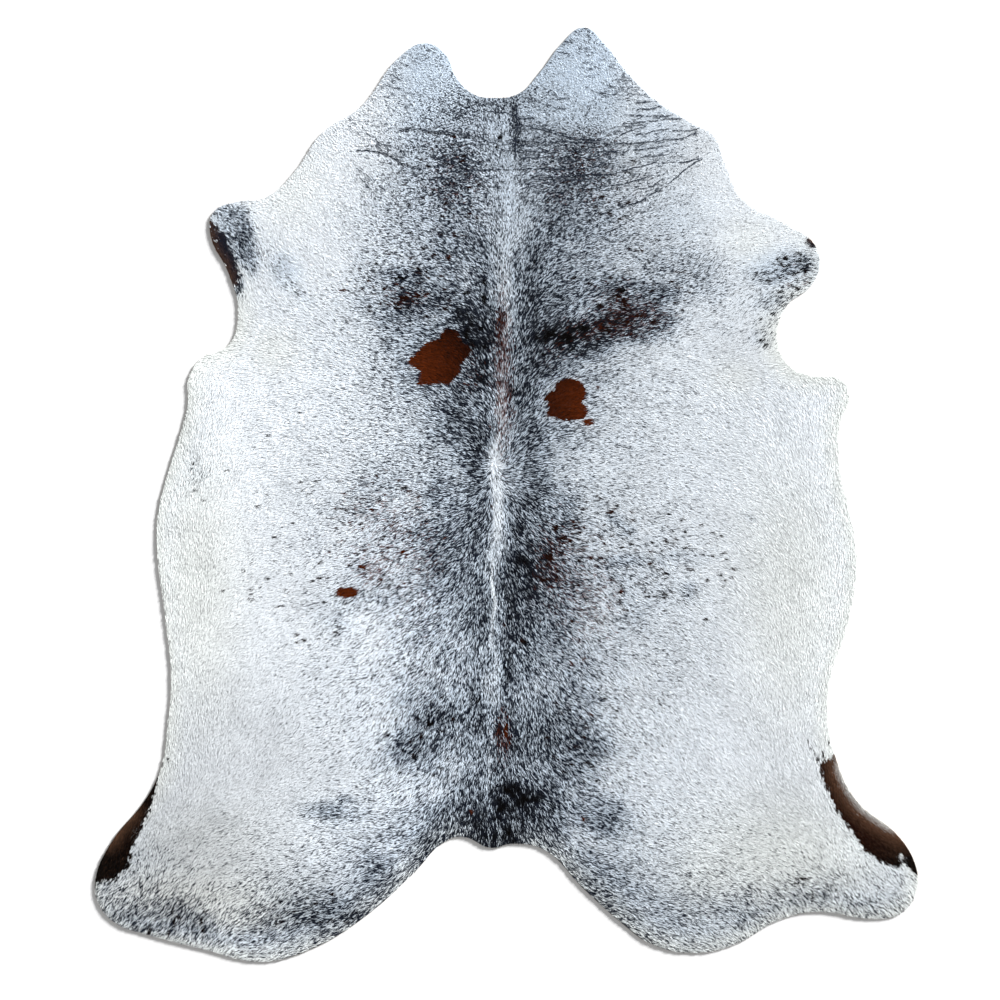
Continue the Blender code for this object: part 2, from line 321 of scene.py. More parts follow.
# Places where the light hair stands alone.
PALE = {
    # where: patches as (right, down, half along, half across, turn, share of dark hair taken away)
    "neck": (
        (491, 128, 28, 2, 0, 0.6), (503, 150, 50, 9, 3, 0.35), (420, 70, 35, 45, 0, 0.85),
        (580, 70, 48, 54, 0, 0.92), (650, 125, 30, 40, 0, 0.8), (385, 105, 25, 35, 40, 0.55),
        (440, 108, 20, 24, 0, 0.1), (560, 112, 18, 38, 0, 0.46), (537, 124, 18, 10, 0, 0.22),
    ),
    "shoulders": (
        (509, 200, 34, 8, 0, 0.62), (507, 268, 40, 7, 0, 0.55), (320, 170, 60, 42, 30, 0.92),
        (725, 195, 40, 25, -20, 0.85), (312, 245, 40, 48, 0, 0.6), (526, 224, 18, 16, 0, 0.38),
        (584, 245, 22, 22, 0, 0.12), (676, 222, 18, 34, 0, 0.4), (487, 220, 14, 8, 0, 0.22),
        (628, 270, 14, 10, 0, 0.2), (417, 268, 14, 9, 0, 0.18),
    ),
    "back": (
        (507, 325, 30, 4, 0, 0.45), (502, 395, 36, 7, 0, 0.42), (496, 462, 26, 8, 0, 0.9),
        (497, 510, 42, 7, -1, 0.82), (470, 276, 10, 9, 0, 0.2),
    ),
    "saddle": ((493.5, 592, 40, 2.3, 0, 0.78), (478, 602, 10, 10, 0, 0.3)),
    "sides": ((588, 470, 20, 46, 0, 0.24), (600, 434, 12, 30, 0, 0.16)),
    "loin": ((494, 655, 35, 3.6, 0, 0.3), (430, 665, 22, 35, 0, 0.14), (372, 640, 26, 14, 0, 0.3)),
    "rump": (
        (489, 770, 50, 3, 0, 0.3), (458, 766, 18, 18, 0, 0.25), (388, 718, 16, 22, 0, 0.24),
        (622, 722, 26, 16, 0, 0.16),
    ),
    "thighs and hocks": (
        (300, 878, 16, 40, 0, 0.04), (392, 850, 12, 16, 0, 0.4), (590, 850, 16, 34, 20, 0.35),
        (690, 935, 16, 50, 0, 0.14),
    ),
}

# Wrinkles pressed into the skin of the neck.
WRINKLES = (
    # points as (right, down), strength
    (((399, 131), (436, 134), (500, 142)), 0.8),
    (((356, 150), (380, 153), (409, 168)), 0.7),
    (((516, 142), (560, 150), (640, 146)), 0.8),
    (((477, 172), (541, 170), (627, 167), (694, 158)), 0.9),
    (((520, 185), (558, 179), (610, 175)), 0.9),
    (((618, 211), (651, 200), (679, 184), (687, 171)), 0.7),
)

# Which way the hair lies. A heading is clockwise from the neck: 90 is to the right, 180 to the tail.
COMBING = {
    # squares down: places as (right, heading)
    50: ((380, -78), (450, -80), (500, 0), (550, 100), (600, 112)),
    95: ((350, -62), (400, -66), (450, -86), (500, 0), (540, 112), (600, 102), (660, 90)),
    145: ((300, -5), (350, -52), (400, -66), (460, -86), (504, 0), (545, 88), (650, 80), (715, 60)),
    195: (
        (270, -70), (325, -38), (375, -50), (430, -78), (475, -70), (508, 0), (540, 72), (590, 84),
        (660, 68), (735, 78),
    ),
    245: (
        (215, -30), (250, -46), (325, -48), (370, -70), (425, -82), (475, -52), (507, 0), (535, 42),
        (580, 76), (650, 86), (720, 66), (810, 86),
    ),
    295: (
        (240, -8), (275, -44), (320, -64), (390, -82), (450, -64), (480, -44), (505, 0), (527, 26),
        (555, 62), (620, 86), (700, 74), (745, 62), (800, 74),
    ),
    345: (
        (200, -100), (260, -86), (330, -80), (440, -84), (475, -44), (504, 0), (527, 24), (556, 52),
        (600, 74), (690, 80), (735, 60), (780, 50),
    ),
    395: (
        (185, -178), (215, -150), (250, -122), (290, -96), (370, -86), (440, -72), (478, -46), (503, 0),
        (527, 34), (570, 72), (620, 92), (690, 112), (750, 122), (790, 150), (850, 165),
    ),
    445: (
        (170, 180), (200, -172), (225, -142), (250, -112), (300, -96), (400, -88), (450, -74), (478, -50),
        (498, 0), (520, 40), (550, 80), (640, 94), (720, 110), (750, 126), (780, 150), (830, 176),
    ),
    477: (
        (165, 180), (200, -167), (228, -146), (260, -114), (320, -94), (420, -90), (480, -90), (494, 180),
        (508, 90), (560, 90), (700, 94), (750, 120), (780, 143), (835, 176),
    ),
    510: (
        (160, 180), (200, -167), (228, -136), (262, -114), (340, -98), (420, -104), (465, -124),
        (482, -146), (496, 180), (512, 146), (535, 124), (580, 104), (700, 104), (750, 116), (780, 138),
        (835, 176),
    ),
    570: (
        (160, 180), (200, -169), (228, -134), (268, -112), (360, -112), (430, -118), (458, -140),
        (480, -168), (496, 180), (515, 158), (545, 130), (585, 114), (660, 104), (725, 110), (755, 130),
        (785, 155), (830, 178),
    ),
    645: (
        (170, -172), (200, -162), (240, -128), (310, -114), (380, -124), (430, -132), (460, -158),
        (480, -176), (495, 180), (520, 160), (550, 134), (590, 120), (660, 108), (715, 118), (755, 144),
        (800, 172), (830, 190),
    ),
    720: (
        (165, -176), (205, -164), (250, -150), (320, -122), (380, -136), (430, -152), (465, -174),
        (492, 180), (520, 170), (550, 150), (600, 124), (670, 134), (725, 122), (760, 158), (830, 180),
    ),
    770: (
        (160, -176), (200, -168), (245, -136), (310, -114), (390, -124), (430, -138), (460, -166),
        (490, 180), (520, 166), (552, 146), (590, 120), (650, 120), (725, 140), (780, 150), (835, 160),
    ),
    820: (
        (130, -158), (175, -146), (215, -120), (280, -110), (330, -94), (400, -106), (435, -142),
        (460, -172), (488, 180), (520, 172), (550, 140), (585, 110), (680, 101), (755, 110), (800, 136),
        (840, 150), (890, 130),
    ),
    860: (
        (100, -140), (140, -156), (180, -146), (220, -112), (300, -104), (380, -104), (425, -130),
        (490, 180), (550, 140), (590, 114), (700, 105), (780, 113), (830, 138), (860, 146), (905, 136),
    ),
    900: (
        (100, -140), (150, -140), (215, -136), (255, -116), (320, -108), (380, -120), (490, 180),
        (600, 106), (700, 102), (760, 124), (810, 120), (860, 140), (905, 132),
    ),
    945: (
        (150, -142), (210, -148), (255, -110), (330, -112), (490, 180), (640, 130), (700, 110), (770, 140),
    ),
}

# Rust-brown spots with clean edges: the outline as (right, down), and where the spot is brightest. Each spot
# is painted lighter toward that place and darker away from it, a painted highlight and shade.
RUST_SPOTS = {
    "left spot": ((
        (448, 328), (458, 331), (461, 341), (473, 350), (468, 356), (461, 364), (460, 374), (453, 379),
        (451, 384), (416, 385), (419, 377), (421, 371), (414, 368), (407, 364), (411, 357), (419, 350),
        (426, 343), (438, 339), (443, 331),
    ), (420, 368)),
    "right spot": ((
        (568, 378), (577, 379), (585, 385), (587, 396), (581, 402), (587, 406), (588, 415), (584, 419),
        (572, 420), (563, 421), (556, 418), (545, 416), (549, 409), (548, 403), (543, 399), (550, 392),
        (555, 390), (557, 381),
    ), (588, 406)),
    "small spot": ((
        (334, 593), (340, 588), (350, 587), (359, 590), (357, 596), (347, 598), (338, 597),
    ), (345, 606)),
    "tail of the right spot": (((582, 420), (592, 418), (595, 423), (590, 426), (584, 424)), (590, 422)),
}
SPOT_HIGHLIGHT_AND_SHADE = (
    # squares from the brightest place, gain of the colour
    (0, 0.78), (20, 0.26), (48, -0.55),
)
SPOT_STRAY = 0.26
SPOT_BLACK = 0.05  # share of black hairs in a spot
FADE_POWER = 1.4
RED_LOSS = 1.4  # how soon a patch loses its brown where it fades

# Black patches with clean edges on the legs.
BLACK_PATCHES = {
    # leg: outline as (right, down), where it fades most, how far it fades there, how many squares the fading
    # runs along the rim, how far inward, how brown the patch is, how ragged its edge, its share of light
    # hairs, how smoky its dark hair is
    "left hind leg": ((
        (159, 776), (154, 796), (150, 810), (143, 824), (135, 841), (130, 855), (129, 868), (119, 875),
        (114, 881), (98, 882), (92, 889), (85, 889), (90, 850), (120, 812), (150, 778),
    ), (122, 828), 0.46, 34, 36 * MM, 0.05, 6 * MM, 0.0, 0.0),
    "left foreleg": ((
        (202, 218), (212, 220), (221, 230), (228, 241), (232, 251), (235, 262), (239, 273), (239, 281),
        (234, 288), (214, 262), (203, 240),
    ), (220, 256), 0.34, 50, 26 * MM, 0.0, 6 * MM, 0.012, 0.8),
    # On the right hind leg the fading runs on past brown to pale: painted highlight of the lit fur edge
    # along the rim.
    "right hind leg": ((
        (819, 763), (822, 778), (827, 793), (838, 812), (850, 830), (861, 844), (868, 854), (880, 863),
        (890, 867), (899, 868), (902, 863), (897, 855), (899, 855), (906, 865), (912, 871), (918, 879),
        (926, 870), (905, 835), (870, 805), (850, 790), (838, 755),
    ), (860, 800), 0.84, 76, 56 * MM, 0.22, 7 * MM, 0.0, 0.0),
    "right foreleg": (
        ((807, 236), (805, 243), (812, 248), (818, 247), (814, 236)),
        (809, 238), 0.3, 8, 10 * MM, 0.10, 2 * MM, 0.0, 0.5,
    ),
}

# Where rust hairs run through the coat.
RUST_POWER = 0.85
RUSTY = {
    # where: patches as (right, down, half along, half across, turn, share of rust)
    "neck": ((455, 182, 32, 28, 0, 0.15), (580, 168, 36, 34, 0, 0.15)),
    "forelegs and chest": ((800, 280, 12, 18, 0, 0.15),),
    "shoulder band": (
        (632, 314, 22, 36, 10, 0.5), (585, 330, 12, 22, 0, 0.22), (560, 345, 20, 20, 0, 0.1),
        (612, 330, 8, 40, 10, 0.35),
    ),
    "left cluster": ((405, 298, 10, 18, 0, 0.35),),
    "round the spots": ((472, 372, 22, 14, 0, 0.14),),
    "back": ((503, 374, 72, 9, 0, 1.0), (502, 322, 20, 6, 0, 0.9), (506, 416, 22, 9, 0, 0.45)),
    "saddle": ((556, 562, 40, 20, 0, 0.42), (586, 602, 44, 30, 0, 0.32), (416, 566, 46, 24, 0, 0.16)),
    "sides": ((385, 530, 45, 45, 0, 0.26), (372, 572, 14, 14, 0, 0.6)),
    "rump": ((503, 736, 24, 8, 0, 0.75),),
}

# The light hair is bluish over the neck and the back, and among dark hair.
SLATE_BY_LEVEL = (
    # squares down, share of bluish hair
    (60, 1.0), (110, 0.95), (170, 0.85), (230, 0.72), (300, 0.55), (360, 0.4), (450, 0.3), (700, 0.3),
    (850, 0.1),
)
SLATE_BY_REACH = (
    # squares from the back, what is left of that share
    (95, 1.0), (145, 0.0),
)
SLATE_BY_SHARE = 1.8  # share of bluish hair for each share of dark hair
SLATE = {
    # where: patches as (right, down, half along, half across, turn, share of bluish hair)
    "neck": ((420, 80, 50, 45, 0, 0.86), (585, 70, 60, 50, 0, 0.8), (650, 130, 45, 45, 0, 0.66)),
    "shoulders": ((660, 225, 60, 60, 0, 0.5), (395, 205, 60, 40, 0, 0.4)),
    "forelegs": ((785, 270, 24, 46, 0, 0.9), (228, 226, 22, 24, 0, 0.9), (285, 270, 24, 18, -30, 0.6)),
    "thighs and hocks": ((645, 925, 25, 50, 0, 0.7),),
}

# The light hair is creamy along the rim below the forelegs, and in patches.
CREAM_RIM = 60 * MM
CREAM_BY_LEVEL = (
    # squares down, share of creamy hair at the rim
    (200, 0.0), (330, 1.0),
)
CREAM = {
    # where: patches as (right, down, half along, half across, turn, share of creamy hair)
    "neck": ((285, 180, 50, 40, 0, 0.5), (752, 240, 26, 30, 0, 0.4)),
    "forelegs and chest": ((272, 350, 26, 30, 0, 0.6), (735, 378, 20, 30, 0, 0.4)),
    "sides": ((195, 585, 150, 50, 0, 0.85), (795, 600, 140, 62, 0, 0.72)),
    "thighs and hocks": (
        (205, 850, 50, 90, 0, 0.45), (790, 860, 70, 110, 0, 0.8), (700, 890, 40, 30, 0, 0.4),
    ),
    "hind feet": ((175, 900, 32, 130, 0, 1.0), (250, 918, 18, 60, 0, 0.9)),
}

# Places where the light hair is duller, or brighter where the share is below zero; the strip along the left
# rim below the foreleg is painted shadow of the rug's edge.
DULL_HAIR_AND_RIM_SHADOW = {
    # where: patches as (right, down, half along, half across, turn, share of light lost)
    "neck": (
        (415, 75, 50, 50, 0, 0.07), (590, 70, 50, 44, 0, -0.02), (660, 135, 40, 50, 0, 0.05),
        (310, 165, 70, 46, 30, -0.04),
    ),
    # The second patch here, a strip along the left rim, is painted shadow of the rug's edge on its hair.
    "forelegs and chest": ((755, 342, 35, 55, 0, 0.1), (183, 420, 40, 7, 0, 0.12)),
    "shoulder band": ((600, 362, 28, 50, 0, 0.05),),
    "sides": (
        (250, 740, 90, 100, 0, 0.06), (740, 650, 200, 130, 0, 0.045), (275, 590, 190, 95, 0, 0.12),
        (230, 730, 80, 90, 0, 0.11), (795, 545, 50, 26, 0, 0.05), (228, 560, 70, 30, 0, 0.04),
        (660, 665, 50, 50, 0, 0.05),
    ),
    "loin": ((335, 705, 30, 50, 0, 0.05),),
    "rump": ((285, 775, 40, 40, 0, 0.05), (350, 765, 36, 40, 0, 0.1)),
    "thighs and hocks": (
        (180, 870, 75, 110, 0, 0.28), (250, 790, 60, 90, 0, 0.12), (320, 900, 55, 70, 0, 0.16),
        (640, 900, 50, 70, 0, 0.06), (820, 900, 45, 100, 0, 0.09), (180, 838, 60, 60, 0, 0.18),
        (798, 800, 60, 55, 0, 0.12), (780, 722, 36, 40, 0, 0.06),
    ),
}

# Small marks with clean edges, at their own places.
FLECKS = (
    # right, down, half across, half down, share of rust
    (500, 137, 2.6, 2.2, 0.0), (497, 147, 2.2, 1.4, 0.0), (484, 299, 3.0, 4.5, 0.0),
    (465, 293, 4.5, 1.5, 0.0), (484, 282, 1.4, 4.0, 0.0), (449, 257, 3.0, 1.8, 1.0),
    (343, 290, 4.0, 1.2, 1.0), (598, 388, 2.0, 1.6, 1.0), (362, 567, 4.0, 2.2, 1.0),
    (381, 580, 2.4, 1.8, 1.0), (344, 494, 2.0, 1.6, 1.0), (403, 552, 2.0, 1.6, 1.0),
    (404, 584, 1.8, 1.4, 1.0), (621, 592, 2.4, 1.8, 1.0), (492, 506, 1.6, 1.6, 1.0),
    (572, 664, 1.8, 1.8, 1.0), (584, 659, 1.8, 1.8, 1.0), (591, 715, 2.0, 1.6, 1.0),
    (584, 819, 1.8, 1.8, 1.0), (471, 812, 1.8, 1.8, 1.0), (506, 731, 2.0, 8.0, 1.0),
    (478, 701, 2.6, 2.0, 0.0), (430, 724, 4.0, 2.6, 0.0), (415, 757, 3.0, 2.0, 0.0),
    (505, 667, 2.0, 2.6, 0.0), (525, 643, 2.4, 2.4, 0.0), (566, 337, 7.0, 3.6, 0.0),
    (584, 328, 7.0, 3.4, 0.0), (553, 334, 4.6, 3.4, 0.0), (622, 290, 4.0, 3.0, 0.0),
    (404, 298, 5.0, 2.6, 0.3), (418, 296, 3.0, 2.0, 0.3), (396, 304, 3.0, 2.0, 0.3),
    (418, 270, 1.6, 3.0, 0.0), (448, 259, 2.4, 2.0, 0.2), (556, 528, 4.0, 3.6, 0.22),
    (563, 538, 5.0, 2.4, 0.22), (570, 541, 3.0, 2.0, 0.3), (576, 525, 2.6, 1.2, 0.22),
    (580, 532, 2.0, 1.4, 0.22), (549, 557, 4.0, 4.6, 0.22), (547, 565, 2.4, 2.0, 0.22),
    (562, 553, 3.0, 1.4, 0.22), (573, 545, 2.0, 1.4, 0.3), (545, 580, 6.0, 2.0, 0.22),
    (537, 577, 3.0, 1.4, 0.22), (558, 578, 2.6, 1.4, 0.22), (558, 571, 3.0, 1.2, 0.2),
    (612, 580, 3.0, 1.2, 0.5), (610, 512, 4.0, 2.2, 0.4), (600, 558, 2.4, 1.2, 0.5),
    (573, 622, 2.4, 1.6, 0.3), (580, 640, 2.4, 1.2, 0.6), (505, 626, 1.8, 3.0, 0.3),
    (522, 641, 2.4, 2.4, 0.2), (570, 350, 3.0, 1.6, 0.0), (544, 354, 3.0, 1.6, 0.0),
    (556, 357, 2.4, 1.4, 0.0), (534, 262, 1.4, 3.0, 0.0), (574, 278, 3.4, 1.2, 0.1),
    (590, 284, 3.0, 1.2, 0.1), (617, 296, 5.0, 2.0, 0.2), (625, 302, 3.0, 5.0, 0.2),
    (600, 306, 4.0, 3.0, 0.1), (608, 330, 3.0, 4.0, 0.1), (626, 322, 5.0, 1.6, 0.3),
    (640, 316, 5.0, 1.6, 0.3), (655, 322, 4.0, 1.6, 0.3), (786, 259, 4.0, 1.2, 0.0),
    (801, 260, 3.0, 1.2, 0.0), (800, 254, 3.4, 1.0, 0.0), (793, 274, 5.0, 1.2, 0.0),
    (804, 270, 3.4, 1.1, 0.0), (769, 281, 3.6, 1.4, 0.1), (757, 273, 1.6, 1.0, 0.0),
    (783, 305, 3.0, 1.0, 0.0), (774, 314, 3.4, 1.0, 0.0), (761, 319, 1.6, 1.0, 0.0),
    (763, 340, 4.4, 1.4, 0.0), (766, 345, 3.0, 1.0, 0.0), (809, 742, 1.0, 2.0, 0.0),
    (811, 749, 1.0, 1.6, 0.0), (815, 754, 1.0, 2.4, 0.0), (818, 760, 1.8, 3.0, 0.1),
    (823, 755, 1.0, 3.4, 0.2), (829, 743, 0.9, 1.8, 0.0), (802, 879, 9.0, 1.4, 0.1),
    (796, 884, 5.0, 1.0, 0.1), (813, 898, 1.0, 6.0, 0.1), (165, 745, 0.9, 3.0, 0.1),
    (163, 754, 1.0, 3.0, 0.1), (168, 760, 0.9, 2.4, 0.0), (162, 765, 1.0, 3.0, 0.1),
    (159, 774, 0.8, 2.4, 0.0), (156, 783, 1.2, 3.0, 0.1), (172, 912, 1.2, 6.0, 0.1),
    (174, 924, 1.2, 5.0, 0.1), (149, 932, 1.4, 5.0, 0.1), (168, 934, 1.2, 4.0, 0.1),
    (178, 918, 4.0, 2.0, 0.1), (201, 921, 1.4, 5.0, 0.1), (203, 932, 1.4, 4.0, 0.1),
    (205, 912, 3.0, 1.2, 0.1), (300, 413, 2.4, 0.9, 0.0), (286, 436, 2.4, 0.9, 0.0),
    (268, 436, 2.4, 0.9, 0.0), (253, 448, 2.4, 0.9, 0.0), (209, 456, 2.4, 0.9, 0.0),
    (193, 464, 2.4, 0.9, 0.0), (226, 471, 2.4, 0.9, 0.0), (195, 491, 2.0, 0.9, 0.0),
    (204, 501, 2.0, 0.9, 0.0), (223, 591, 2.0, 0.9, 0.0), (326, 452, 2.4, 0.9, 0.0),
    (398, 278, 7.0, 1.6, 0.0),
)

# Areas with small marks strewn over them at random, each an oval.
SPECKS = (
    # place, right, down, half across, half down, how many, reddest
    ("left of the saddle", 385, 530, 50, 60, 65, 0.8),
    ("right of the saddle", 608, 560, 50, 65, 80, 0.6),
    ("right flank", 690, 560, 45, 70, 50, 0.2),
    ("left flank", 300, 560, 60, 90, 40, 0.3),
    ("left shoulder", 405, 285, 50, 42, 60, 0.4),
    ("right shoulder", 640, 285, 50, 48, 55, 0.4),
    ("right foreleg", 790, 274, 24, 24, 34, 0.1),
    ("left loin", 420, 735, 45, 45, 40, 0.2),
    ("right rump", 590, 740, 45, 55, 45, 0.3),
    ("left neck", 440, 190, 45, 60, 50, 0.3),
    ("right neck", 590, 185, 50, 60, 50, 0.3),
    ("left hock", 300, 915, 70, 25, 35, 0.1),
)
SPECK_ACROSS = (1.2, 3.4)  # half the width of the smallest and the largest
SPECK_DOWN = (0.6, 1.4)  # half their height

# Thin dark lines of the neck, where the hair parts over a wrinkle: partly dark hair showing in the parting,
# partly painted shadow of the wrinkle.
WRINKLE_PARTINGS_AND_SHADOWS = (
    # points as (right, down), how dark and whole the line is
    (((397, 130), (418, 129), (440, 132), (462, 134), (480, 137), (489, 142), (510, 145)), 0.75),
    (((452, 141), (470, 143), (488, 145)), 0.5), (((452, 158), (468, 160), (484, 164)), 0.6),
    (((440, 160), (458, 164), (476, 167)), 0.65), (((432, 151), (438, 160)), 0.8),
    (((487, 112), (508, 113), (520, 118), (534, 119)), 0.8),
    (((520, 124), (540, 130), (556, 134), (575, 139), (600, 141)), 0.9),
    (((513, 128), (545, 129), (566, 134)), 0.6), (((500, 142), (518, 145), (538, 147), (550, 151)), 0.8),
    (((510, 140), (540, 142), (570, 142), (600, 143), (620, 144), (650, 142), (678, 139)), 0.8),
    (((500, 150), (520, 152), (560, 151), (620, 152), (640, 150), (668, 146)), 0.65),
    (((520, 158), (548, 157), (572, 160), (600, 156), (618, 150)), 0.65),
    (((447, 172), (470, 171), (488, 170), (520, 169), (548, 169), (590, 169), (602, 164), (612, 157)), 0.8),
    (((520, 180), (548, 178), (577, 175), (612, 175), (638, 167), (654, 163), (685, 162), (701, 158)), 0.75),
    (((519, 189), (542, 183), (575, 180), (600, 181)), 0.6),
    (((600, 186), (622, 184), (645, 178), (660, 172)), 0.6), (((470, 175), (487, 183)), 0.8),
    (((489, 186), (500, 187)), 0.7), (((436, 178), (452, 180), (466, 179)), 0.7),
    (((356, 150), (375, 152), (390, 156), (400, 162), (409, 168), (425, 169)), 0.75),
    (((359, 178), (366, 184), (373, 190)), 0.35), (((377, 184), (385, 191)), 0.5),
    (((355, 168), (366, 174), (372, 180)), 0.4), (((366, 133), (380, 143), (395, 147), (412, 153)), 0.5),
    (((376, 145), (388, 154), (402, 166)), 0.4), (((349, 118), (356, 125)), 0.5),
    (((362, 121), (378, 121), (388, 124)), 0.3), (((387, 74), (393, 75), (400, 79)), 0.65),
    (((383, 84), (392, 88), (402, 88)), 0.4), (((393, 101), (408, 107)), 0.4),
    (((380, 96), (390, 98)), 0.3), (((400, 63), (408, 66)), 0.35), (((404, 92), (418, 95)), 0.3),
    (((410, 57), (430, 58), (446, 60)), 0.2), (((584, 28), (592, 30), (598, 34)), 0.7),
    (((563, 41), (572, 43)), 0.75), (((575, 44), (590, 50)), 0.25), (((558, 52), (567, 53)), 0.85),
    (((567, 55), (584, 60), (592, 63)), 0.25), (((585, 66), (600, 71)), 0.25),
    (((607, 66), (622, 70)), 0.4), (((612, 80), (634, 81)), 0.4), (((603, 83), (618, 87), (636, 88)), 0.35),
    (((583, 85), (592, 90), (604, 94), (622, 95), (649, 94)), 0.45),
    (((592, 103), (589, 112), (584, 121)), 0.35), (((635, 103), (660, 101)), 0.65),
    (((636, 109), (650, 109), (664, 106)), 0.7), (((628, 115), (646, 116), (670, 116)), 0.55),
    (((622, 124), (646, 122), (666, 119), (684, 118)), 0.65), (((610, 128), (630, 126), (645, 124)), 0.4),
    (((620, 137), (626, 132), (634, 130)), 0.7), (((636, 135), (652, 132), (668, 129)), 0.6),
    (((670, 131), (690, 130), (700, 128)), 0.6), (((676, 140), (690, 136), (696, 132)), 0.6),
    (((640, 157), (660, 155), (676, 153)), 0.55),
    (((650, 194), (663, 188), (672, 180), (684, 171), (694, 163), (702, 158)), 0.7),
    (((620, 207), (636, 203), (650, 197)), 0.7), (((640, 190), (656, 184), (664, 178)), 0.6),
    (((523, 97), (537, 102), (556, 108), (566, 109)), 0.45), (((545, 92), (560, 98), (572, 99)), 0.25),
    (((516, 94), (517, 125), (515, 156)), 0.7),
)


def chart_point(right, down):
    """A place on the chart as metres across and along the hide."""
    middle_right, middle_down = CHART_MIDDLE
    return (right - middle_right) * SQUARE, (middle_down - down) * SQUARE


def chart_line(points):
    """Places on the chart as an array of metres."""
    return np.array([chart_point(right, down) for right, down in points])


def colour_setting(name, description, default):
    """A colour that the add-on's user can change."""
    return FloatVectorProperty(
        name=name, description=description, subtype="COLOR", min=0, max=1, default=default,
    )


def length_setting(name, description, default, low, high):
    """A length that can be set from low to high, all in millimetres."""
    return FloatProperty(
        name=name, description=description, unit="LENGTH", default=default * MM, min=low * MM, max=high * MM,
    )


def angle_setting(name, description, default, high):
    """An angle that can be set from zero to high, all in degrees."""
    return FloatProperty(
        name=name, description=description, subtype="ANGLE", unit="ROTATION",
        default=math.radians(default), min=0, max=math.radians(high),
    )


class HideSettings(bpy.types.PropertyGroup):
    """The tanned skin under the hair."""

    suede: colour_setting("Suede", "Colour of the flesh side and the cut rim", (0.66, 0.57, 0.45))
    veins: colour_setting("Veins", "Darker colour of the flesh side's growth marks", (0.47, 0.37, 0.27))
    wrinkle_depth: length_setting("Wrinkle Depth", "Depth of the fine wrinkles in the neck", 0.5, 0, 1.5)
    wrinkle_width: length_setting("Wrinkle Width", "Half the width of a fine wrinkle", 5, 1, 20)
    ripple: length_setting("Ripple", "Height of the skin's slow unevenness", 0.25, 0, 1)


class CoatSettings(bpy.types.PropertyGroup):
    """The hair, which lies in tufts of a few hairs."""

    spacing: length_setting("Tuft Spacing", "Distance between the roots of two tufts", 2.6, 2.55, 40)
    hairs: IntProperty(
        name="Hairs in a Tuft", description="How many hairs lie side by side in a tuft",
        default=2, min=1, max=2,
    )
    length: length_setting("Hair Length", "Length of a hair on the flanks", 8.2, 4, 40)
    width: length_setting("Hair Width", "Width of a hair at its root", 1.6, 0.2, 5)
    lift: length_setting("Tip Lift", "How far a hair's tip stands off the skin", 0.4, 0, 10)
    overhang: length_setting("Overhang", "How far the longest hairs reach past the rim", 2.6, 0, 10)
    stray: angle_setting("Stray", "How far a tuft strays from the lie of the coat", 11, 60)
    blend: FloatProperty(
        name="Roan Blend", description="How gently the tufts pass from light to dark",
        subtype="FACTOR", default=0.15, min=0.01, max=1,
    )
    white: colour_setting("White", "Colour of the light hair", (0.85, 0.89, 0.93))
    slate: colour_setting("Slate", "Colour of the light hair on the neck", (0.64, 0.74, 0.85))
    cream: colour_setting("Cream", "Colour of the light hair on the belly and legs", (0.84, 0.87, 0.85))
    black: colour_setting("Black", "Colour of the dark hair", (0.0016, 0.0011, 0.0009))
    smoke: colour_setting("Smoke", "Colour of dark hair that stands among light hair", (0.010, 0.014, 0.026))
    ginger: colour_setting("Ginger", "Colour of the reddish hair among light hair", (0.15, 0.060, 0.050))
    brown: colour_setting("Brown", "Colour of the faded dark hair on the legs", (0.105, 0.053, 0.031))
    rust: colour_setting("Rust", "Colour of the brown spots", (0.052, 0.0095, 0.0016))


class StageSettings(bpy.types.PropertyGroup):
    """The floor, the lights and the camera."""

    floor: colour_setting("Floor", "Colour of the floor", (0.80, 0.80, 0.80))
    fill: FloatProperty(
        name="Fill", description="Strength of the light from all round", default=0.42, min=0,
    )
    key: FloatProperty(
        name="Key", description="Strength of the lamp at the upper right", default=10.9, min=0,
    )
    key_height: angle_setting("Key Height", "How high the lamp stands over the floor", 16, 90)
    lens: FloatProperty(
        name="Lens", description="Focal length in millimetres", default=100, min=20, max=300,
    )


def length_between(points, start, end):
    """Distance from each point to the straight run from start to end."""
    run = end - start
    share = np.clip((points - start) @ run / (run @ run), 0, 1)
    return np.linalg.norm(points - start - share[:, None] * run, axis=1)


def length_to_line(points, line):
    """Distance from each point to a line of several runs."""
    found = np.full(len(points), np.inf)
    for start, end in zip(line, line[1:]):
        np.minimum(found, length_between(points, start, end), out=found)
    return found


def inside(points, outline):
    """Whether each point lies inside a closed outline."""
    found = np.zeros(len(points), bool)
    x, y = points[:, 0], points[:, 1]
    for (x0, y0), (x1, y1) in zip(outline, np.roll(outline, -1, axis=0)):
        if y0 != y1:
            crosses = (y0 > y) != (y1 > y)
            found ^= crosses & (x < (x1 - x0) * (y - y0) / (y1 - y0) + x0)
    return found


def ease(share):
    """A share from 0 to 1 that starts and ends gently."""
    return share * share * (3 - 2 * share)


def soft_noise(points, size, rng):
    """Smooth random values from -1 to 1 in lumps of about the given size."""
    low = np.array((HIDE_LOW.x, HIDE_LOW.y)) - NOISE_MARGIN
    high = np.array((HIDE_HIGH.x, HIDE_HIGH.y)) + NOISE_MARGIN
    columns, rows = np.ceil((high - low) / size).astype(int) + 2
    lattice = rng.uniform(-1, 1, (rows, columns))
    return lookup(lattice, low, size, points, eased=True)


def lookup(values, low, step, points, eased=False):
    """The value of an even grid at each point, blended between its four neighbours."""
    place = (points - low) / step
    cell = np.floor(place).astype(int)
    rows, columns = values.shape
    column = np.clip(cell[:, 0], 0, columns - 2)
    row = np.clip(cell[:, 1], 0, rows - 2)
    across = np.clip(place[:, 0] - column, 0, 1)
    along = np.clip(place[:, 1] - row, 0, 1)
    if eased:
        across, along = ease(across), ease(along)
    near = values[row, column] * (1 - across) + values[row, column + 1] * across
    far = values[row + 1, column] * (1 - across) + values[row + 1, column + 1] * across
    return near * (1 - along) + far * along


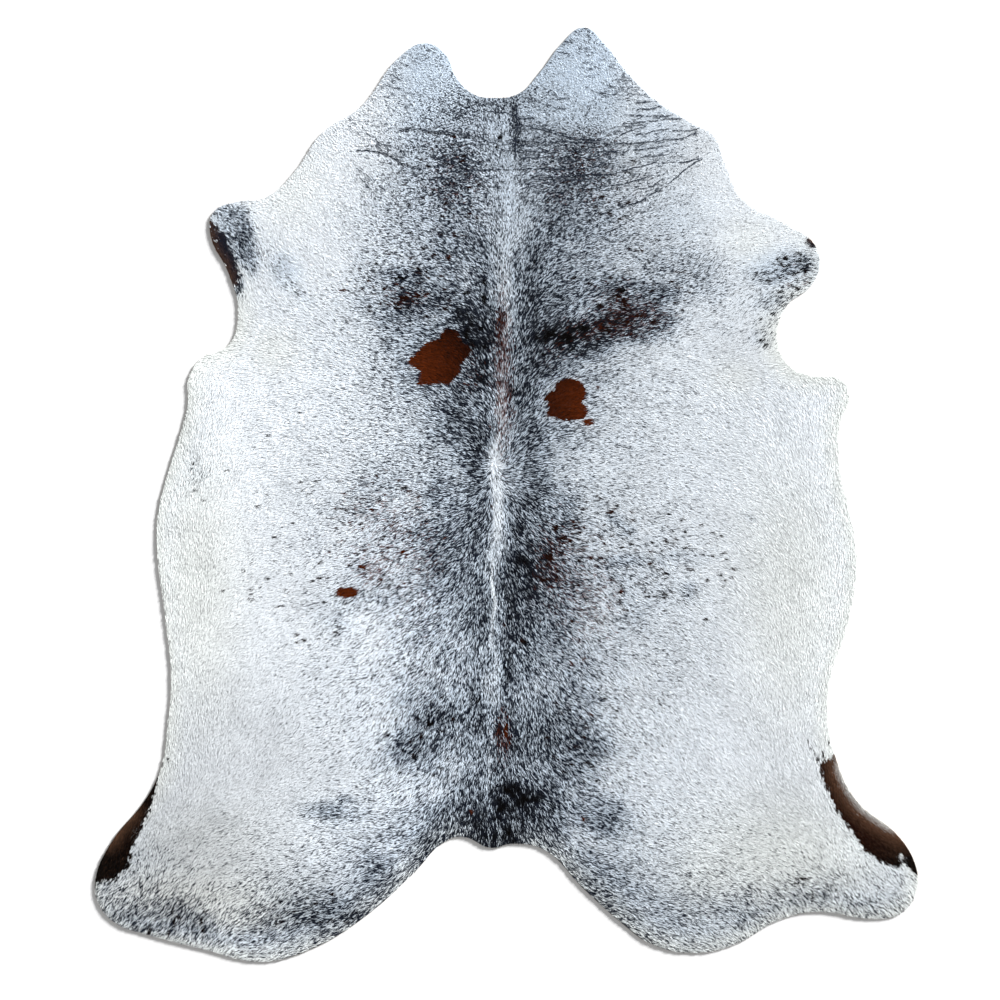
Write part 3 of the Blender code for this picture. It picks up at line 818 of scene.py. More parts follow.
class SkinMap:
    """The skin's height and the distance to its rim, on an even grid."""

    def __init__(self, skin):
        self.low = np.array((HIDE_LOW.x, HIDE_LOW.y)) - MAP_STEP
        columns = int((HIDE_HIGH.x - HIDE_LOW.x) / MAP_STEP) + MAP_SPARE
        rows = int((HIDE_HIGH.y - HIDE_LOW.y) / MAP_STEP) + MAP_SPARE
        across, along = np.meshgrid(np.arange(columns) * MAP_STEP, np.arange(rows) * MAP_STEP)
        places = np.stack((across.ravel(), along.ravel()), axis=1) + self.low
        tops = self.measure_tops(skin, places)
        rim = rim_line(skin)
        near = np.full(len(places), np.inf)
        for part in np.array_split(np.arange(len(places)), MAP_PARTS):
            near[part] = length_to_line(places[part], rim)
        on_skin = ~np.isnan(tops)
        self.heights = np.where(on_skin, tops, RIM_TOP).reshape(rows, columns)
        self.margins = np.where(on_skin, near, -near).reshape(rows, columns)

    @staticmethod
    def measure_tops(skin, places):
        """The skin's height at each place, or no number outside it."""
        mesh = skin.data
        tree = BVHTree.FromPolygons(
            [v.co for v in mesh.vertices], [p.vertices for p in mesh.polygons]
        )
        above = HIDE_HIGH.z + LOOK_FROM
        down = Vector((0, 0, -1))
        tops = np.full(len(places), np.nan)
        for index, (x, y) in enumerate(places):
            hit = tree.ray_cast(Vector((x, y, above)), down)[0]
            if hit is not None:
                tops[index] = hit.z
        return tops

    def height(self, points):
        """The skin's height under each point."""
        return lookup(self.heights, self.low, MAP_STEP, points)

    def margin(self, points):
        """Distance from each point to the rim, below zero outside."""
        return lookup(self.margins, self.low, MAP_STEP, points)


def rim_line(skin):
    """The skin's outline on the floor, as a closed line."""
    floor_level = HIDE_LOW.z + FLOOR_TOUCH
    on_floor = {v.index for v in skin.data.vertices if v.co.z < floor_level}
    uses = {}
    for polygon in skin.data.polygons:
        if all(index in on_floor for index in polygon.vertices):
            for edge in polygon.edge_keys:
                uses[edge] = uses.get(edge, 0) + 1
    following = {}
    for (start, end), count in uses.items():
        if count == 1:
            following.setdefault(start, []).append(end)
            following.setdefault(end, []).append(start)
    first = next(iter(following))
    walk = [first, following[first][0]]
    while walk[-1] != first:
        one, other = following[walk[-1]]
        walk.append(other if one == walk[-2] else one)
    return np.array([skin.data.vertices[index].co[:2] for index in walk])


def patch_share(points, patches):
    """How strongly each point is covered by a table of soft patches, each with its own share."""
    left_over = np.ones(len(points))
    for right, down, half_along, half_across, turn, share in sum(patches.values(), ()):
        angle = math.radians(turn)
        offset = (points - chart_point(right, down)) / SQUARE
        along = offset[:, 0] * math.sin(angle) + offset[:, 1] * math.cos(angle)
        across = offset[:, 0] * math.cos(angle) - offset[:, 1] * math.sin(angle)
        reach = np.hypot(along / half_along, across / half_across)
        left_over *= 1 - share * np.exp(-PATCH_FADE * reach**PATCH_EDGE)
    return 1 - left_over


def spine_reach(points):
    """Distance from each point to the line of the back, in squares."""
    spine = chart_line(SPINE)
    middle = np.interp(-points[:, 1], -spine[:, 1], spine[:, 0])
    return np.abs(points[:, 0] - middle) / SQUARE


def squares_down(points):
    """How far down the chart each point lies."""
    return CHART_MIDDLE[1] - points[:, 1] / SQUARE


def from_chart(numbers, chart):
    """What a chart of two columns gives for each number of its first column."""
    return np.interp(numbers, *zip(*chart))


def dark_share(points, rng):
    """The share of dark hairs at each point, before the clean-edged marks."""
    wander = np.stack([soft_noise(points, PATCH_WANDER_SIZE, rng) for _ in range(2)], axis=1)
    moved = points + wander * PATCH_WANDER
    base = from_chart(spine_reach(moved), PEPPER_BY_REACH) + from_chart(squares_down(moved), PEPPER_BY_LEVEL)
    # Patches of dark hair, one of them painted shadow at a rim.
    patches = patch_share(moved, DARK_HAIR_AND_RIM_SHADOW)
    pale = patch_share(moved, PALE)
    share = (1 - (1 - base) * (1 - patches)) * (1 - pale)
    lumps = sum(strength * soft_noise(points, size, rng) for size, strength in MOTTLE)
    share = share * (1 + lumps) + MOTTLE_FLOOR * lumps
    # The fine lines of the neck add dark hair: partly the parting's own dark hair, partly painted shadow of
    # the wrinkles.
    for line, strength in WRINKLE_PARTINGS_AND_SHADOWS:
        line = chart_line(line)
        near = points_near(points, line)
        reach = length_to_line(points[near], line) / LINE_REACH
        share[near] = np.maximum(share[near], LINE_SHARE * strength * np.exp(-reach**2))
    share = np.clip(share, 0, 1)
    return share + DARK_GAIN * share * (1 - share)


def combing(points):
    """The lie of the coat at each point, as a unit vector."""
    levels = list(COMBING)
    rights = points[:, 0] / SQUARE + CHART_MIDDLE[0]
    rows = []
    for row in COMBING.values():
        places, headings = zip(*row)
        headings = np.radians(headings)
        rows.append((
            np.interp(rights, places, np.sin(headings)),
            np.interp(rights, places, np.cos(headings)),
        ))
    rows = np.array(rows)
    down = np.clip(squares_down(points), levels[0], levels[-1])
    after = np.clip(np.searchsorted(levels, down), 1, len(levels) - 1)
    levels = np.array(levels)
    share = (down - levels[after - 1]) / (levels[after] - levels[after - 1])
    pick = np.arange(len(points))
    lie = rows[after - 1, :, pick] * (1 - share)[:, None] + rows[after, :, pick] * share[:, None]
    return lie / np.linalg.norm(lie, axis=1)[:, None]


def reach_from(points, place):
    """Distance from each point to a place on the chart, in squares."""
    return np.linalg.norm(points - chart_point(*place), axis=1) / SQUARE


def points_near(points, outline):
    """Which points lie in the box round an outline."""
    low, high = outline.min(axis=0) - MARK_BOX, outline.max(axis=0) + MARK_BOX
    return np.flatnonzero(((points > low) & (points < high)).all(axis=1))


def scattered_specks(rng):
    """The small marks that are strewn at random over the areas of SPECKS, like rows of FLECKS."""
    specks = []
    for _, right, down, half_across, half_down, count, reddest in SPECKS:
        for _ in range(count):
            turn = rng.uniform(0, 2 * math.pi)
            reach = math.sqrt(rng.uniform())
            specks.append((
                right + half_across * reach * math.cos(turn), down + half_down * reach * math.sin(turn),
                rng.uniform(*SPECK_ACROSS), rng.uniform(*SPECK_DOWN), rng.uniform(0, reddest),
            ))
    return specks


def sharp_marks(points, margins):
    """The clean-edged marks at each point, as five arrays: how much of the dark hair is rust, how much
    brighter it is (random tone and the spots' painted highlight and shade), whether the hair is dark at all,
    how brown it is and how far painted highlight lightens it, and how smoky."""
    rng = np.random.default_rng(MARK_SEED)
    frayed = points + rng.normal(0, MARK_FRAY, points.shape)
    ragged = np.stack([soft_noise(points, FRAY_SIZE, rng) for _ in range(2)], axis=1)
    rust, spot_highlight_and_tone, brown_and_highlight, smoke = np.zeros((4, len(points)))
    dark = np.zeros(len(points), bool)
    for outline, brightest in RUST_SPOTS.values():
        outline = chart_line(outline)
        near = points_near(points, outline)
        hit = near[inside(frayed[near], outline)]
        dark[hit] = True
        rust[hit] = rng.uniform(0, 1, len(hit)) > SPOT_BLACK
        # Painted highlight and shade across the spot, with random tone added below.
        spot_highlight_and_tone[hit] = from_chart(reach_from(points[hit], brightest), SPOT_HIGHLIGHT_AND_SHADE)
        spot_highlight_and_tone[hit] += SPOT_STRAY * rng.normal(0, 1, len(hit))
    for outline, palest, fading, reach, depth, warmth, fray, light, smoky in BLACK_PATCHES.values():
        outline = chart_line(outline)
        near = points_near(points, outline)
        near = near[inside(frayed[near] + fray * ragged[near], outline)]
        hit = near[rng.uniform(0, 1, len(near)) >= light]
        dark[hit] = True
        inward = np.clip(1 - margins[hit] / depth, 0, 1)
        along = np.clip(2 - 2 * reach_from(points[hit], palest) / reach, 0, 1)  # whole up to half the reach
        faded = fading * inward**FADE_POWER * along
        brown_and_highlight[hit] = np.clip(faded + FADE_STRAY * rng.normal(0, 1, len(hit)), 0, 1)
        rust[hit] = warmth * along * np.clip(1 - RED_LOSS * faded, 0, 1)
        smoke[hit] = smoky
    order = np.argsort(frayed[:, 0])
    across = frayed[order, 0]
    for right, down, half_across, half_down, red in [*FLECKS, *scattered_specks(rng)]:
        middle = np.array(chart_point(right, down))
        half_size = np.array((half_across, half_down)) * SQUARE
        first, last = np.searchsorted(across, (middle[0] - half_size[0], middle[0] + half_size[0]))
        near = order[first:last]
        hit = near[np.linalg.norm((frayed[near] - middle) / half_size, axis=1) < 1]
        dark[hit] = True
        rust[hit] = red
    return rust, spot_highlight_and_tone, dark, brown_and_highlight, smoke


def deepened(darkness):
    """How far hair of the given darkness is mixed with black."""
    return 1 - (1 - darkness)**TONE_CURVE


def pepper_tone(share, step):
    """How far hair is mixed with black, where step goes from a light hair to a dark one."""
    shares, light, dark, _ = zip(*TONES)
    darkness = np.interp(share, shares, light) * (1 - step) + np.interp(share, shares, dark) * step
    return deepened(darkness)


def roan_step(share, chance):
    """Whether hair with the given chance is light (0) or dark (1), with a soft passage between."""
    blend = bpy.context.scene.rug_coat.blend
    return ease(np.clip((share - chance) / blend + 0.5, 0, 1))


def coat_at(points, margins, rng):
    """The share of dark hair over each point, and the other colour attributes of the coat there."""
    share = dark_share(points, rng)
    rusty = patch_share(points, RUSTY)
    reddened = rng.uniform(0, 1, len(points)) < rusty
    rust = np.where(reddened, rng.uniform(0, 1, len(points)) ** RUST_POWER, 0)
    down = squares_down(points)
    slate = from_chart(down, SLATE_BY_LEVEL) * from_chart(spine_reach(points), SLATE_BY_REACH)
    slate = np.maximum(slate, patch_share(points, SLATE))
    slate = np.maximum(slate, np.clip(SLATE_BY_SHARE * share, 0, 1))
    cream = np.clip(1 - margins / CREAM_RIM, 0, 1) * from_chart(down, CREAM_BY_LEVEL)
    cream = np.maximum(cream, patch_share(points, CREAM)) * (1 - share**2)
    shade = SHADE_STRAY * rng.normal(0, 1, len(points))
    shade += SHADE_MOTTLE * soft_noise(points, SHADE_SIZE, rng)
    # This darkens the duller light hair, and paints the shadow along the left rim.
    shade -= patch_share(points, DULL_HAIR_AND_RIM_SHADOW)
    shares, _, _, smoke = zip(*TONES)
    return share, {
        "rust": rust,
        "slate": slate,
        "cream": cream,
        "shade": shade,
        "smoke": np.interp(share, shares, smoke),
        "fade": np.zeros(len(points)),
    }


def add_marks(coat, points, margins):
    """Lays the clean-edged marks over the coat: the first half of the browning turns the hair brown, and the
    second half lightens it toward white, a painted highlight of the lit fur edge."""
    rust, spot_highlight_and_tone, dark, brown_and_highlight, smoke = sharp_marks(points, margins)
    coat["rust"] = np.where(dark, rust, coat["rust"])
    coat["smoke"] = np.where(dark, smoke, coat["smoke"])
    coat["fade"] = np.clip(brown_and_highlight * 2, 0, 1)
    # Past half way the fading lightens the dark hair: painted highlight of a lit rim.
    coat["pepper"] = np.where(dark, 1 - RIM_HIGHLIGHT * np.clip(brown_and_highlight * 2 - 1, 0, 1), coat["pepper"])
    # Random tone, and the painted highlight and shade across each rust spot.
    coat["shade"] = coat["shade"] + spot_highlight_and_tone
    return coat


def new_piece(name, mesh, material_list):
    """An object at the origin with the given mesh and materials."""
    piece = bpy.data.objects.new(name, mesh)
    bpy.context.scene.collection.objects.link(piece)
    for material in material_list:
        mesh.materials.append(material)
    return piece


def set_attributes(mesh, values):
    """Stores arrays of one number a point as named attributes."""
    for name, numbers in values.items():
        layer = mesh.attributes.new(name, "FLOAT", "POINT")
        layer.data.foreach_set("value", np.ascontiguousarray(numbers, dtype=np.float32))


def skin_mesh(settings):
    """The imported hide's mesh, cut finer on its upper side, with the wrinkles and ripples pressed in."""
    bm = bmesh.new()
    bm.from_mesh(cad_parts["hide"].data)
    bmesh.ops.remove_doubles(bm, verts=bm.verts, dist=DOUBLES)
    bm.normal_update()
    upper = [f for f in bm.faces if f.normal.z > TOP_TURN]
    long_edges = {e for f in upper for e in f.edges if e.calc_length() > FINE_EDGE}
    bmesh.ops.subdivide_edges(bm, edges=list(long_edges), cuts=2, use_grid_fill=True)
    bmesh.ops.triangulate(bm, faces=[f for f in bm.faces if len(f.verts) > 3])
    bm.normal_update()
    inner = [
        v for v in bm.verts
        if v.co.z > RIM_TOP and all(f.normal.z > TOP_TURN for f in v.link_faces)
    ]
    points = np.array([v.co[:2] for v in inner])
    rng = np.random.default_rng(SKIN_SEED)
    change = settings.ripple * soft_noise(points, RIPPLE_SIZE, rng)
    for line, strength in WRINKLES:
        reach = length_to_line(points, chart_line(line)) / settings.wrinkle_width
        change -= settings.wrinkle_depth * strength * np.exp(-reach**2)
    for vertex, step in zip(inner, change):
        vertex.co.z += step
    for face in bm.faces:
        face.smooth = True
        face.material_index = 0 if face.normal.z > TOP_TURN else 1
    mesh = bpy.data.meshes.new("hide_skin")
    bm.to_mesh(mesh)
    bm.free()
    return mesh


def hair_corners(roots, tips, half, root_level, tip_level, tilt=0.0):
    """Three-cornered hairs: the two corners of each root, half to either side, and the tip."""
    return np.stack((
        np.column_stack((roots - half, root_level - tilt)),
        np.column_stack((roots + half, root_level + tilt)),
        np.column_stack((tips, tip_level)),
    ), axis=1)


def pointing(heading):
    """Unit vectors along headings that are counted clockwise from the neck."""
    return np.stack((np.sin(heading), np.cos(heading)), axis=-1)


def to_the_right(runs):
    """Unit vectors a quarter turn clockwise from the given ones."""
    return np.stack((runs[:, 1], -runs[:, 0]), axis=1)


class TuftField:
    """Where the tufts stand, which way they lie and where each of their hairs runs."""

    def __init__(self, skin_map, settings, rng):
        self.skin_map = skin_map
        self.settings = settings
        self.rng = rng
        self.roots = self.scatter_roots()
        lie = combing(self.roots)
        levels, lengths, strays, own = zip(*GROWTH)
        down = squares_down(self.roots)
        self.growth = np.interp(down, levels, lengths)
        self.own_tone = np.interp(down, levels, own)
        stray = settings.stray * np.interp(down, levels, strays)
        turn = rng.normal(0, 1, len(self.roots)) * stray
        turn += WAVE * soft_noise(self.roots, WAVE_SIZE, rng)
        self.heading = np.arctan2(lie[:, 0], lie[:, 1]) + turn

    def scatter_roots(self):
        """One root in each square of an even grid over the skin, off its middle at random."""
        step = self.settings.spacing
        across = np.arange(HIDE_LOW.x, HIDE_HIGH.x, step)
        along = np.arange(HIDE_LOW.y, HIDE_HIGH.y, step)
        places = np.stack([g.ravel() for g in np.meshgrid(across, along)], axis=1)
        places = places + self.rng.uniform(0, step, places.shape)
        places = places[self.skin_map.margin(places) > RIM_CLEAR]
        return places[np.argsort(-places[:, 1])]

    def hairs(self, picked):
        """Triangles and coat attributes of the hairs in the picked tufts."""
        settings, rng = self.settings, self.rng
        count = settings.hairs
        shape = (len(picked), count)
        heading = self.heading[picked]
        growth = self.growth[picked]
        lie = pointing(heading)
        length = settings.length * growth
        tuft_middles = self.roots[picked] + lie * (length / 2)[:, None]
        share, tuft_coat = coat_at(tuft_middles, self.skin_map.margin(tuft_middles), rng)
        float_height = rng.uniform(0, TUFT_FLOAT, shape[0])

        runs = pointing((heading[:, None] + rng.normal(0, HAIR_FAN, shape)).ravel())
        sides = to_the_right(runs)
        slide = (rng.uniform(-TUFT_REACH, TUFT_REACH, shape) * growth[:, None]).ravel()
        spread = rng.uniform(-TUFT_SPREAD, TUFT_SPREAD, shape[0] * count)
        roots = np.repeat(self.roots[picked], count, axis=0)
        roots = roots + runs * slide[:, None] + sides * spread[:, None]
        lengths = np.repeat(length, count) * rng.uniform(*HAIR_SPAN, shape[0] * count)
        roots, lengths = self.keep_over_skin(roots, runs, lengths)

        half_width = settings.width / 2 / np.sqrt(np.repeat(growth, count))
        roll = rng.normal(0, HAIR_ROLL, shape[0] * count)
        level = self.skin_map.height(roots) - ROOT_DEPTH + np.repeat(float_height, count)
        tips = roots + runs * lengths[:, None]
        tip_level = self.skin_map.height(tips) + np.repeat(float_height, count)
        tip_level += settings.lift * rng.uniform(*LIFT_SPAN, shape[0] * count)
        half = sides * (half_width * np.cos(roll))[:, None]
        corners = hair_corners(roots, tips, half, level, tip_level, half_width * np.sin(roll))
        coat = {name: np.repeat(values, count) for name, values in tuft_coat.items()}
        coat["shade"] = coat["shade"] + rng.normal(0, HAIR_SHADE, shape[0] * count)
        chance = np.repeat(rng.uniform(0, 1, len(picked)), count)
        own = rng.uniform(0, 1, len(chance))
        mixed = rng.uniform(0, 1, len(chance)) < np.repeat(self.own_tone[picked], count)
        chance = np.where(mixed, own, chance)
        share = np.repeat(share, count)
        coat["pepper"] = pepper_tone(share, roan_step(share, chance))
        middles = roots + runs * (lengths / 2)[:, None]
        coat = add_marks(coat, middles, self.skin_map.margin(middles))
        return corners, coat

    def keep_over_skin(self, roots, runs, lengths):
        """Draws hairs back where they stand or reach too far past the rim."""
        settings, rng = self.settings, self.rng
        near = self.skin_map.margin(roots)
        roots = roots - runs * np.clip(RIM_CLEAR - near, 0, TUFT_REACH)[:, None]
        start = self.skin_map.margin(roots)
        end = self.skin_map.margin(roots + runs * lengths[:, None])
        limit = -settings.overhang * rng.uniform(0, 1, len(roots)) ** 2
        over = end < limit
        share = np.where(over, (start - limit) / np.maximum(start - end, DOUBLES), 1)
        return roots, lengths * np.clip(share, SHORTEST, 1)


def line_places(rng):
    """Places along the fine lines, each with its line's direction and strength, and dashes beside them."""
    roots, runs, weight = [], [], []
    for line, strength in WRINKLE_PARTINGS_AND_SHADOWS:
        line = chart_line(line)
        for start, end in zip(line, line[1:]):
            run = end - start
            size = np.linalg.norm(run)
            count = max(2, int(size / LINE_STEP))
            share = (np.arange(count) + rng.uniform(0, 1, count)) / count
            roots.append(start + share[:, None] * run)
            runs.append(np.tile(run / size, (count, 1)))
            weight.append(np.full(count, strength))
    roots, runs, weight = np.concatenate(roots), np.concatenate(runs), np.concatenate(weight)
    wander = np.stack([soft_noise(roots, LINE_WANDER_SIZE, rng) for _ in range(2)], axis=1)
    roots = roots + LINE_WANDER * wander
    breaks = soft_noise(roots, LINE_BREAK_SIZE, rng)
    keep = rng.uniform(0, 1, len(roots)) < weight * (1 + LINE_BREAKS * breaks)
    picked = rng.integers(0, len(roots), DASHES)
    dash = roots[picked] + rng.normal(0, DASH_SPREAD, (DASHES, 2))
    dashes = [dash + step * DASH_STEP * runs[picked] for step in range(DASH_HAIRS)]
    faint = weight[picked] * rng.uniform(*DASH_SPAN, DASHES)
    roots = np.concatenate([roots[keep]] + dashes)
    runs = np.concatenate([runs[keep]] + [runs[picked]] * DASH_HAIRS)
    weight = np.concatenate([weight[keep]] + [faint] * DASH_HAIRS)
    return roots, runs, weight


def parting_and_wrinkle_shadow_hairs(skin_map, settings, rng):
    """Dark hairs that lie along the fine lines of the neck, with their coat attributes: partly the dark hair
    in a wrinkle's parting, partly painted shadow of the wrinkle.
    """
    roots, runs, weight = line_places(rng)
    over_skin = skin_map.margin(roots + runs * LINE_HAIR * HAIR_SPAN[1]) > RIM_CLEAR
    over_skin &= skin_map.margin(roots) > RIM_CLEAR
    roots, runs, weight = roots[over_skin], runs[over_skin], weight[over_skin]
    turn = rng.normal(0, LINE_STRAY, len(roots))
    cos, sin = np.cos(turn), np.sin(turn)
    runs = np.stack((runs[:, 0] * cos - runs[:, 1] * sin, runs[:, 0] * sin + runs[:, 1] * cos), axis=1)
    sides = to_the_right(runs)
    roots = roots + sides * rng.normal(0, LINE_SPREAD, len(roots))[:, None]
    tips = roots + runs * (LINE_HAIR * rng.uniform(*HAIR_SPAN, len(roots)))[:, None]
    lifted = TUFT_FLOAT + settings.lift
    root_level, tip_level = skin_map.height(roots) + lifted, skin_map.height(tips) + lifted
    corners = hair_corners(roots, tips, sides * (LINE_WIDTH / 2), root_level, tip_level)
    blank = np.zeros(len(roots))
    coat = {name: blank for name in ("rust", "cream", "shade", "fade")}
    coat["slate"] = coat["smoke"] = blank + 1
    darkness = LINE_DARK + (1 - LINE_DARK) * weight * rng.uniform(*LINE_SPAN, len(roots))
    coat["pepper"] = deepened(np.clip(darkness, 0, 1))
    return corners, coat


def hair_mesh(name, corners, coat):
    """A mesh of loose three-cornered hairs, each in its own cell of the coat's map."""
    count = len(corners)
    mesh = bpy.data.meshes.new(name)
    mesh.from_pydata(corners.reshape(-1, 3), [], np.arange(count * 3).reshape(-1, 3))
    set_attributes(mesh, {key: np.repeat(values, 3) for key, values in coat.items()})
    order = np.argsort(coat["pepper"] + coat["rust"], kind="stable")
    cell = np.empty(count, int)
    cell[order] = np.arange(count)
    places = np.stack((cell % MAP_CELLS, cell // MAP_CELLS), axis=1)
    layout = (places[:, None, :] * 2 + np.array(MAP_CORNERS)) / (2 * MAP_CELLS)
    layer = mesh.uv_layers.new(name="OFBake")
    layer.uv.foreach_set("vector", np.ascontiguousarray(layout.ravel(), dtype=np.float32))
    mesh.update()
    return mesh


class NodeTable:
    """Places and links the nodes of a material or a node group."""

    def __init__(self, tree):
        self.tree = tree
        self.count = 0

    def add(self, kind, inputs=None, **properties):
        """A new node with the given inputs and properties."""
        node = self.tree.nodes.new(kind)
        node.location = (NODE_STEP[0] * (self.count % NODE_ROW), NODE_STEP[1] * (self.count // NODE_ROW))
        self.count += 1
        for name, value in properties.items():
            setattr(node, name, value)
        for name, value in (inputs or {}).items():
            self.set(node.inputs[name], value)
        return node

    def set(self, socket, value):
        """Gives a socket a colour or a number, or links another node's socket to it."""
        if isinstance(value, bpy.types.NodeSocket):
            self.tree.links.new(value, socket)
        elif socket.type == "RGBA":
            socket.default_value = (*value[:3], 1)
        else:
            socket.default_value = value

    def mix(self, factor, first, second):
        """A blend of two colours; returns the blended colour's socket."""
        node = self.add("ShaderNodeMix", data_type="RGBA")
        self.set(node.inputs[MIX_FACTOR], factor)
        self.set(node.inputs[MIX_FIRST], first)
        self.set(node.inputs[MIX_SECOND], second)
        return node.outputs[MIX_RESULT]

    def math(self, operation, first, second, clamp=False):
        """The result of a sum on two numbers."""
        node = self.add("ShaderNodeMath", operation=operation, use_clamp=clamp)
        self.set(node.inputs[0], first)
        self.set(node.inputs[1], second)
        return node.outputs[0]

    def brighten(self, colour, gain):
        """A colour times a number."""
        node = self.add("ShaderNodeVectorMath", operation="SCALE")
        self.set(node.inputs[0], colour)
        self.set(node.inputs["Scale"], gain)
        return node.outputs[0]

    def attribute(self, name):
        """The mesh's attribute of that name, as a number."""
        return self.add("ShaderNodeAttribute", attribute_name=name).outputs["Fac"]

    def noise(self, vector, scale, detail, roughness):
        """Soft noise from 0 to 1."""
        node = self.add("ShaderNodeTexNoise", {
            "Vector": vector, "Scale": scale, "Detail": detail, "Roughness": roughness,
        })
        return node.outputs["Fac"]

    def grain(self, sizes):
        """The fibre mottle at two sizes, in lumps a metre, over the piece; with the coordinates it uses."""
        coordinates = self.add("ShaderNodeTexCoord").outputs["Object"]
        mottle = self.add("ShaderNodeGroup", node_tree=mottle_group())
        self.set(mottle.inputs["Vector"], coordinates)
        self.set(mottle.inputs["Blotch Scale"], sizes[0])
        self.set(mottle.inputs["Fibre Scale"], sizes[1])
        return mottle.outputs, coordinates

    def shade(self, out, inputs):
        """The surface's shader, linked to the material's output node."""
        self.set(out.inputs["Surface"], self.add("ShaderNodeBsdfPrincipled", inputs).outputs[0])


def new_group(name, inputs, outputs):
    """An empty shader node group with named sockets, as (type, name) pairs."""
    tree = bpy.data.node_groups.new(name, "ShaderNodeTree")
    for kind, label in inputs:
        tree.interface.new_socket(label, in_out="INPUT", socket_type="NodeSocket" + kind)
    for kind, label in outputs:
        tree.interface.new_socket(label, in_out="OUTPUT", socket_type="NodeSocket" + kind)
    return tree


COAT_PARTS = ("Pepper", "Rust", "Smoke", "Fade", "Slate", "Cream")
HUES = ("White", "Slate", "Cream", "Black", "Smoke", "Brown", "Ginger", "Rust")


def coat_colour_group():
    """Colour of the hair from the shares of its dark, rust, faded, slate and cream parts."""
    name = "coat colour"
    if name in bpy.data.node_groups:
        return bpy.data.node_groups[name]
    tree = new_group(
        name,
        [("Float", part) for part in (*COAT_PARTS, "Shade")] + [("Color", hue + " Hair") for hue in HUES],
        [("Color", "Color")],
    )
    table = NodeTable(tree)
    given = table.add("NodeGroupInput").outputs
    light = table.mix(given["Slate"], given["White Hair"], given["Slate Hair"])
    light = table.mix(given["Cream"], light, given["Cream Hair"])
    dark = table.mix(given["Smoke"], given["Black Hair"], given["Smoke Hair"])
    dark = table.mix(given["Fade"], dark, given["Brown Hair"])
    hair = table.mix(given["Pepper"], light, dark)
    red = table.mix(given["Pepper"], given["Ginger Hair"], given["Rust Hair"])
    hair = table.mix(given["Rust"], hair, red)
    colour = table.brighten(hair, table.math("ADD", given["Shade"], 1.0))
    table.add("NodeGroupOutput", {"Color": colour})
    return tree


def mottle_group():
    """Unevenness at two sizes: slow blotches and fine fibres."""
    name = "fibre mottle"
    if name in bpy.data.node_groups:
        return bpy.data.node_groups[name]
    tree = new_group(
        name,
        [("Vector", "Vector"), ("Float", "Blotch Scale"), ("Float", "Fibre Scale")],
        [("Float", "Blotch"), ("Float", "Fibre")],
    )
    table = NodeTable(tree)
    given = table.add("NodeGroupInput").outputs
    blotch = table.noise(given["Vector"], given["Blotch Scale"], detail=4.0, roughness=0.6)
    fibre = table.noise(given["Vector"], given["Fibre Scale"], detail=3.0, roughness=0.65)
    table.add("NodeGroupOutput", {"Blotch": blotch, "Fibre": fibre})
    return tree


def new_material(name):
    """An empty node material with its output, as (material, node table, output node)."""
    material = bpy.data.materials.new(name)
    material.use_nodes = True
    material.node_tree.nodes.clear()
    table = NodeTable(material.node_tree)
    return material, table, table.add("ShaderNodeOutputMaterial")


def coat_colour(table, settings, gain):
    """The hair's colour from the piece's attributes, with gain added to its shade; and its grain."""
    grain, _ = table.grain(COAT_GRAIN)
    swing = table.math("MULTIPLY", table.math("SUBTRACT", grain["Blotch"], 0.5), COAT_SWING)
    shade = table.math("ADD", table.attribute("shade"), swing)
    inputs = {"Shade": table.math("ADD", shade, gain)}
    for part in COAT_PARTS:
        inputs[part] = table.attribute(part.lower())
    for hue in HUES:
        inputs[hue + " Hair"] = getattr(settings, hue.lower())
    group = table.add("ShaderNodeGroup", node_tree=coat_colour_group())
    for label, value in inputs.items():
        table.set(group.inputs[label], value)
    return group.outputs["Color"], grain


def hair_material(settings):
    """Short hair with a soft sheen."""
    material, table, out = new_material("cow hair")
    colour, _ = coat_colour(table, settings, 0.0)
    table.shade(out, {"Base Color": colour, "Roughness": 0.5, "Specular IOR Level": 0.03})
    return material


def undercoat_material(settings):
    """The skin's upper side, seen as hair roots between the tufts, drawn darker than the hair as painted
    shade under the coat.
    """
    material, table, out = new_material("hide undercoat")
    # Painted shade: the undercoat is the coat's colour drawn darker, for the shade under the hair.
    colour, grain = coat_colour(table, settings, UNDERCOAT_PAINTED_SHADE)
    bump = table.add("ShaderNodeBump", {"Strength": 0.4, "Distance": 0.4 * MM, "Height": grain["Fibre"]})
    table.shade(out, {
        "Base Color": colour, "Roughness": 0.8, "Specular IOR Level": 0.2, "Normal": bump.outputs[0],
    })
    return material


def suede_material(settings):
    """The flesh side and the cut rim: brushed suede with growth marks."""
    material, table, out = new_material("hide suede")
    grain, coordinates = table.grain(SUEDE_GRAIN)
    marks = table.add(
        "ShaderNodeTexVoronoi", {"Vector": coordinates, "Scale": VEIN_GRAIN}, feature="DISTANCE_TO_EDGE",
    )
    lines = table.math("MULTIPLY", marks.outputs["Distance"], VEIN_SHARPNESS, clamp=True)
    lines = table.math("SUBTRACT", 1.0, lines)
    lines = table.math("MULTIPLY", lines, grain["Blotch"])
    colour = table.mix(grain["Blotch"], settings.suede, settings.veins)
    colour = table.mix(table.math("MULTIPLY", lines, VEIN_SHARE), colour, settings.veins)
    nap = table.add("ShaderNodeMapRange", {"Value": grain["Fibre"], "To Min": 0.82, "To Max": 1.12})
    bump = table.add("ShaderNodeBump", {"Strength": 0.5, "Distance": 0.5 * MM, "Height": grain["Fibre"]})
    table.shade(out, {
        "Base Color": table.brighten(colour, nap.outputs[0]), "Roughness": 0.9,
        "Specular IOR Level": 0.15, "Normal": bump.outputs[0],
    })
    return material


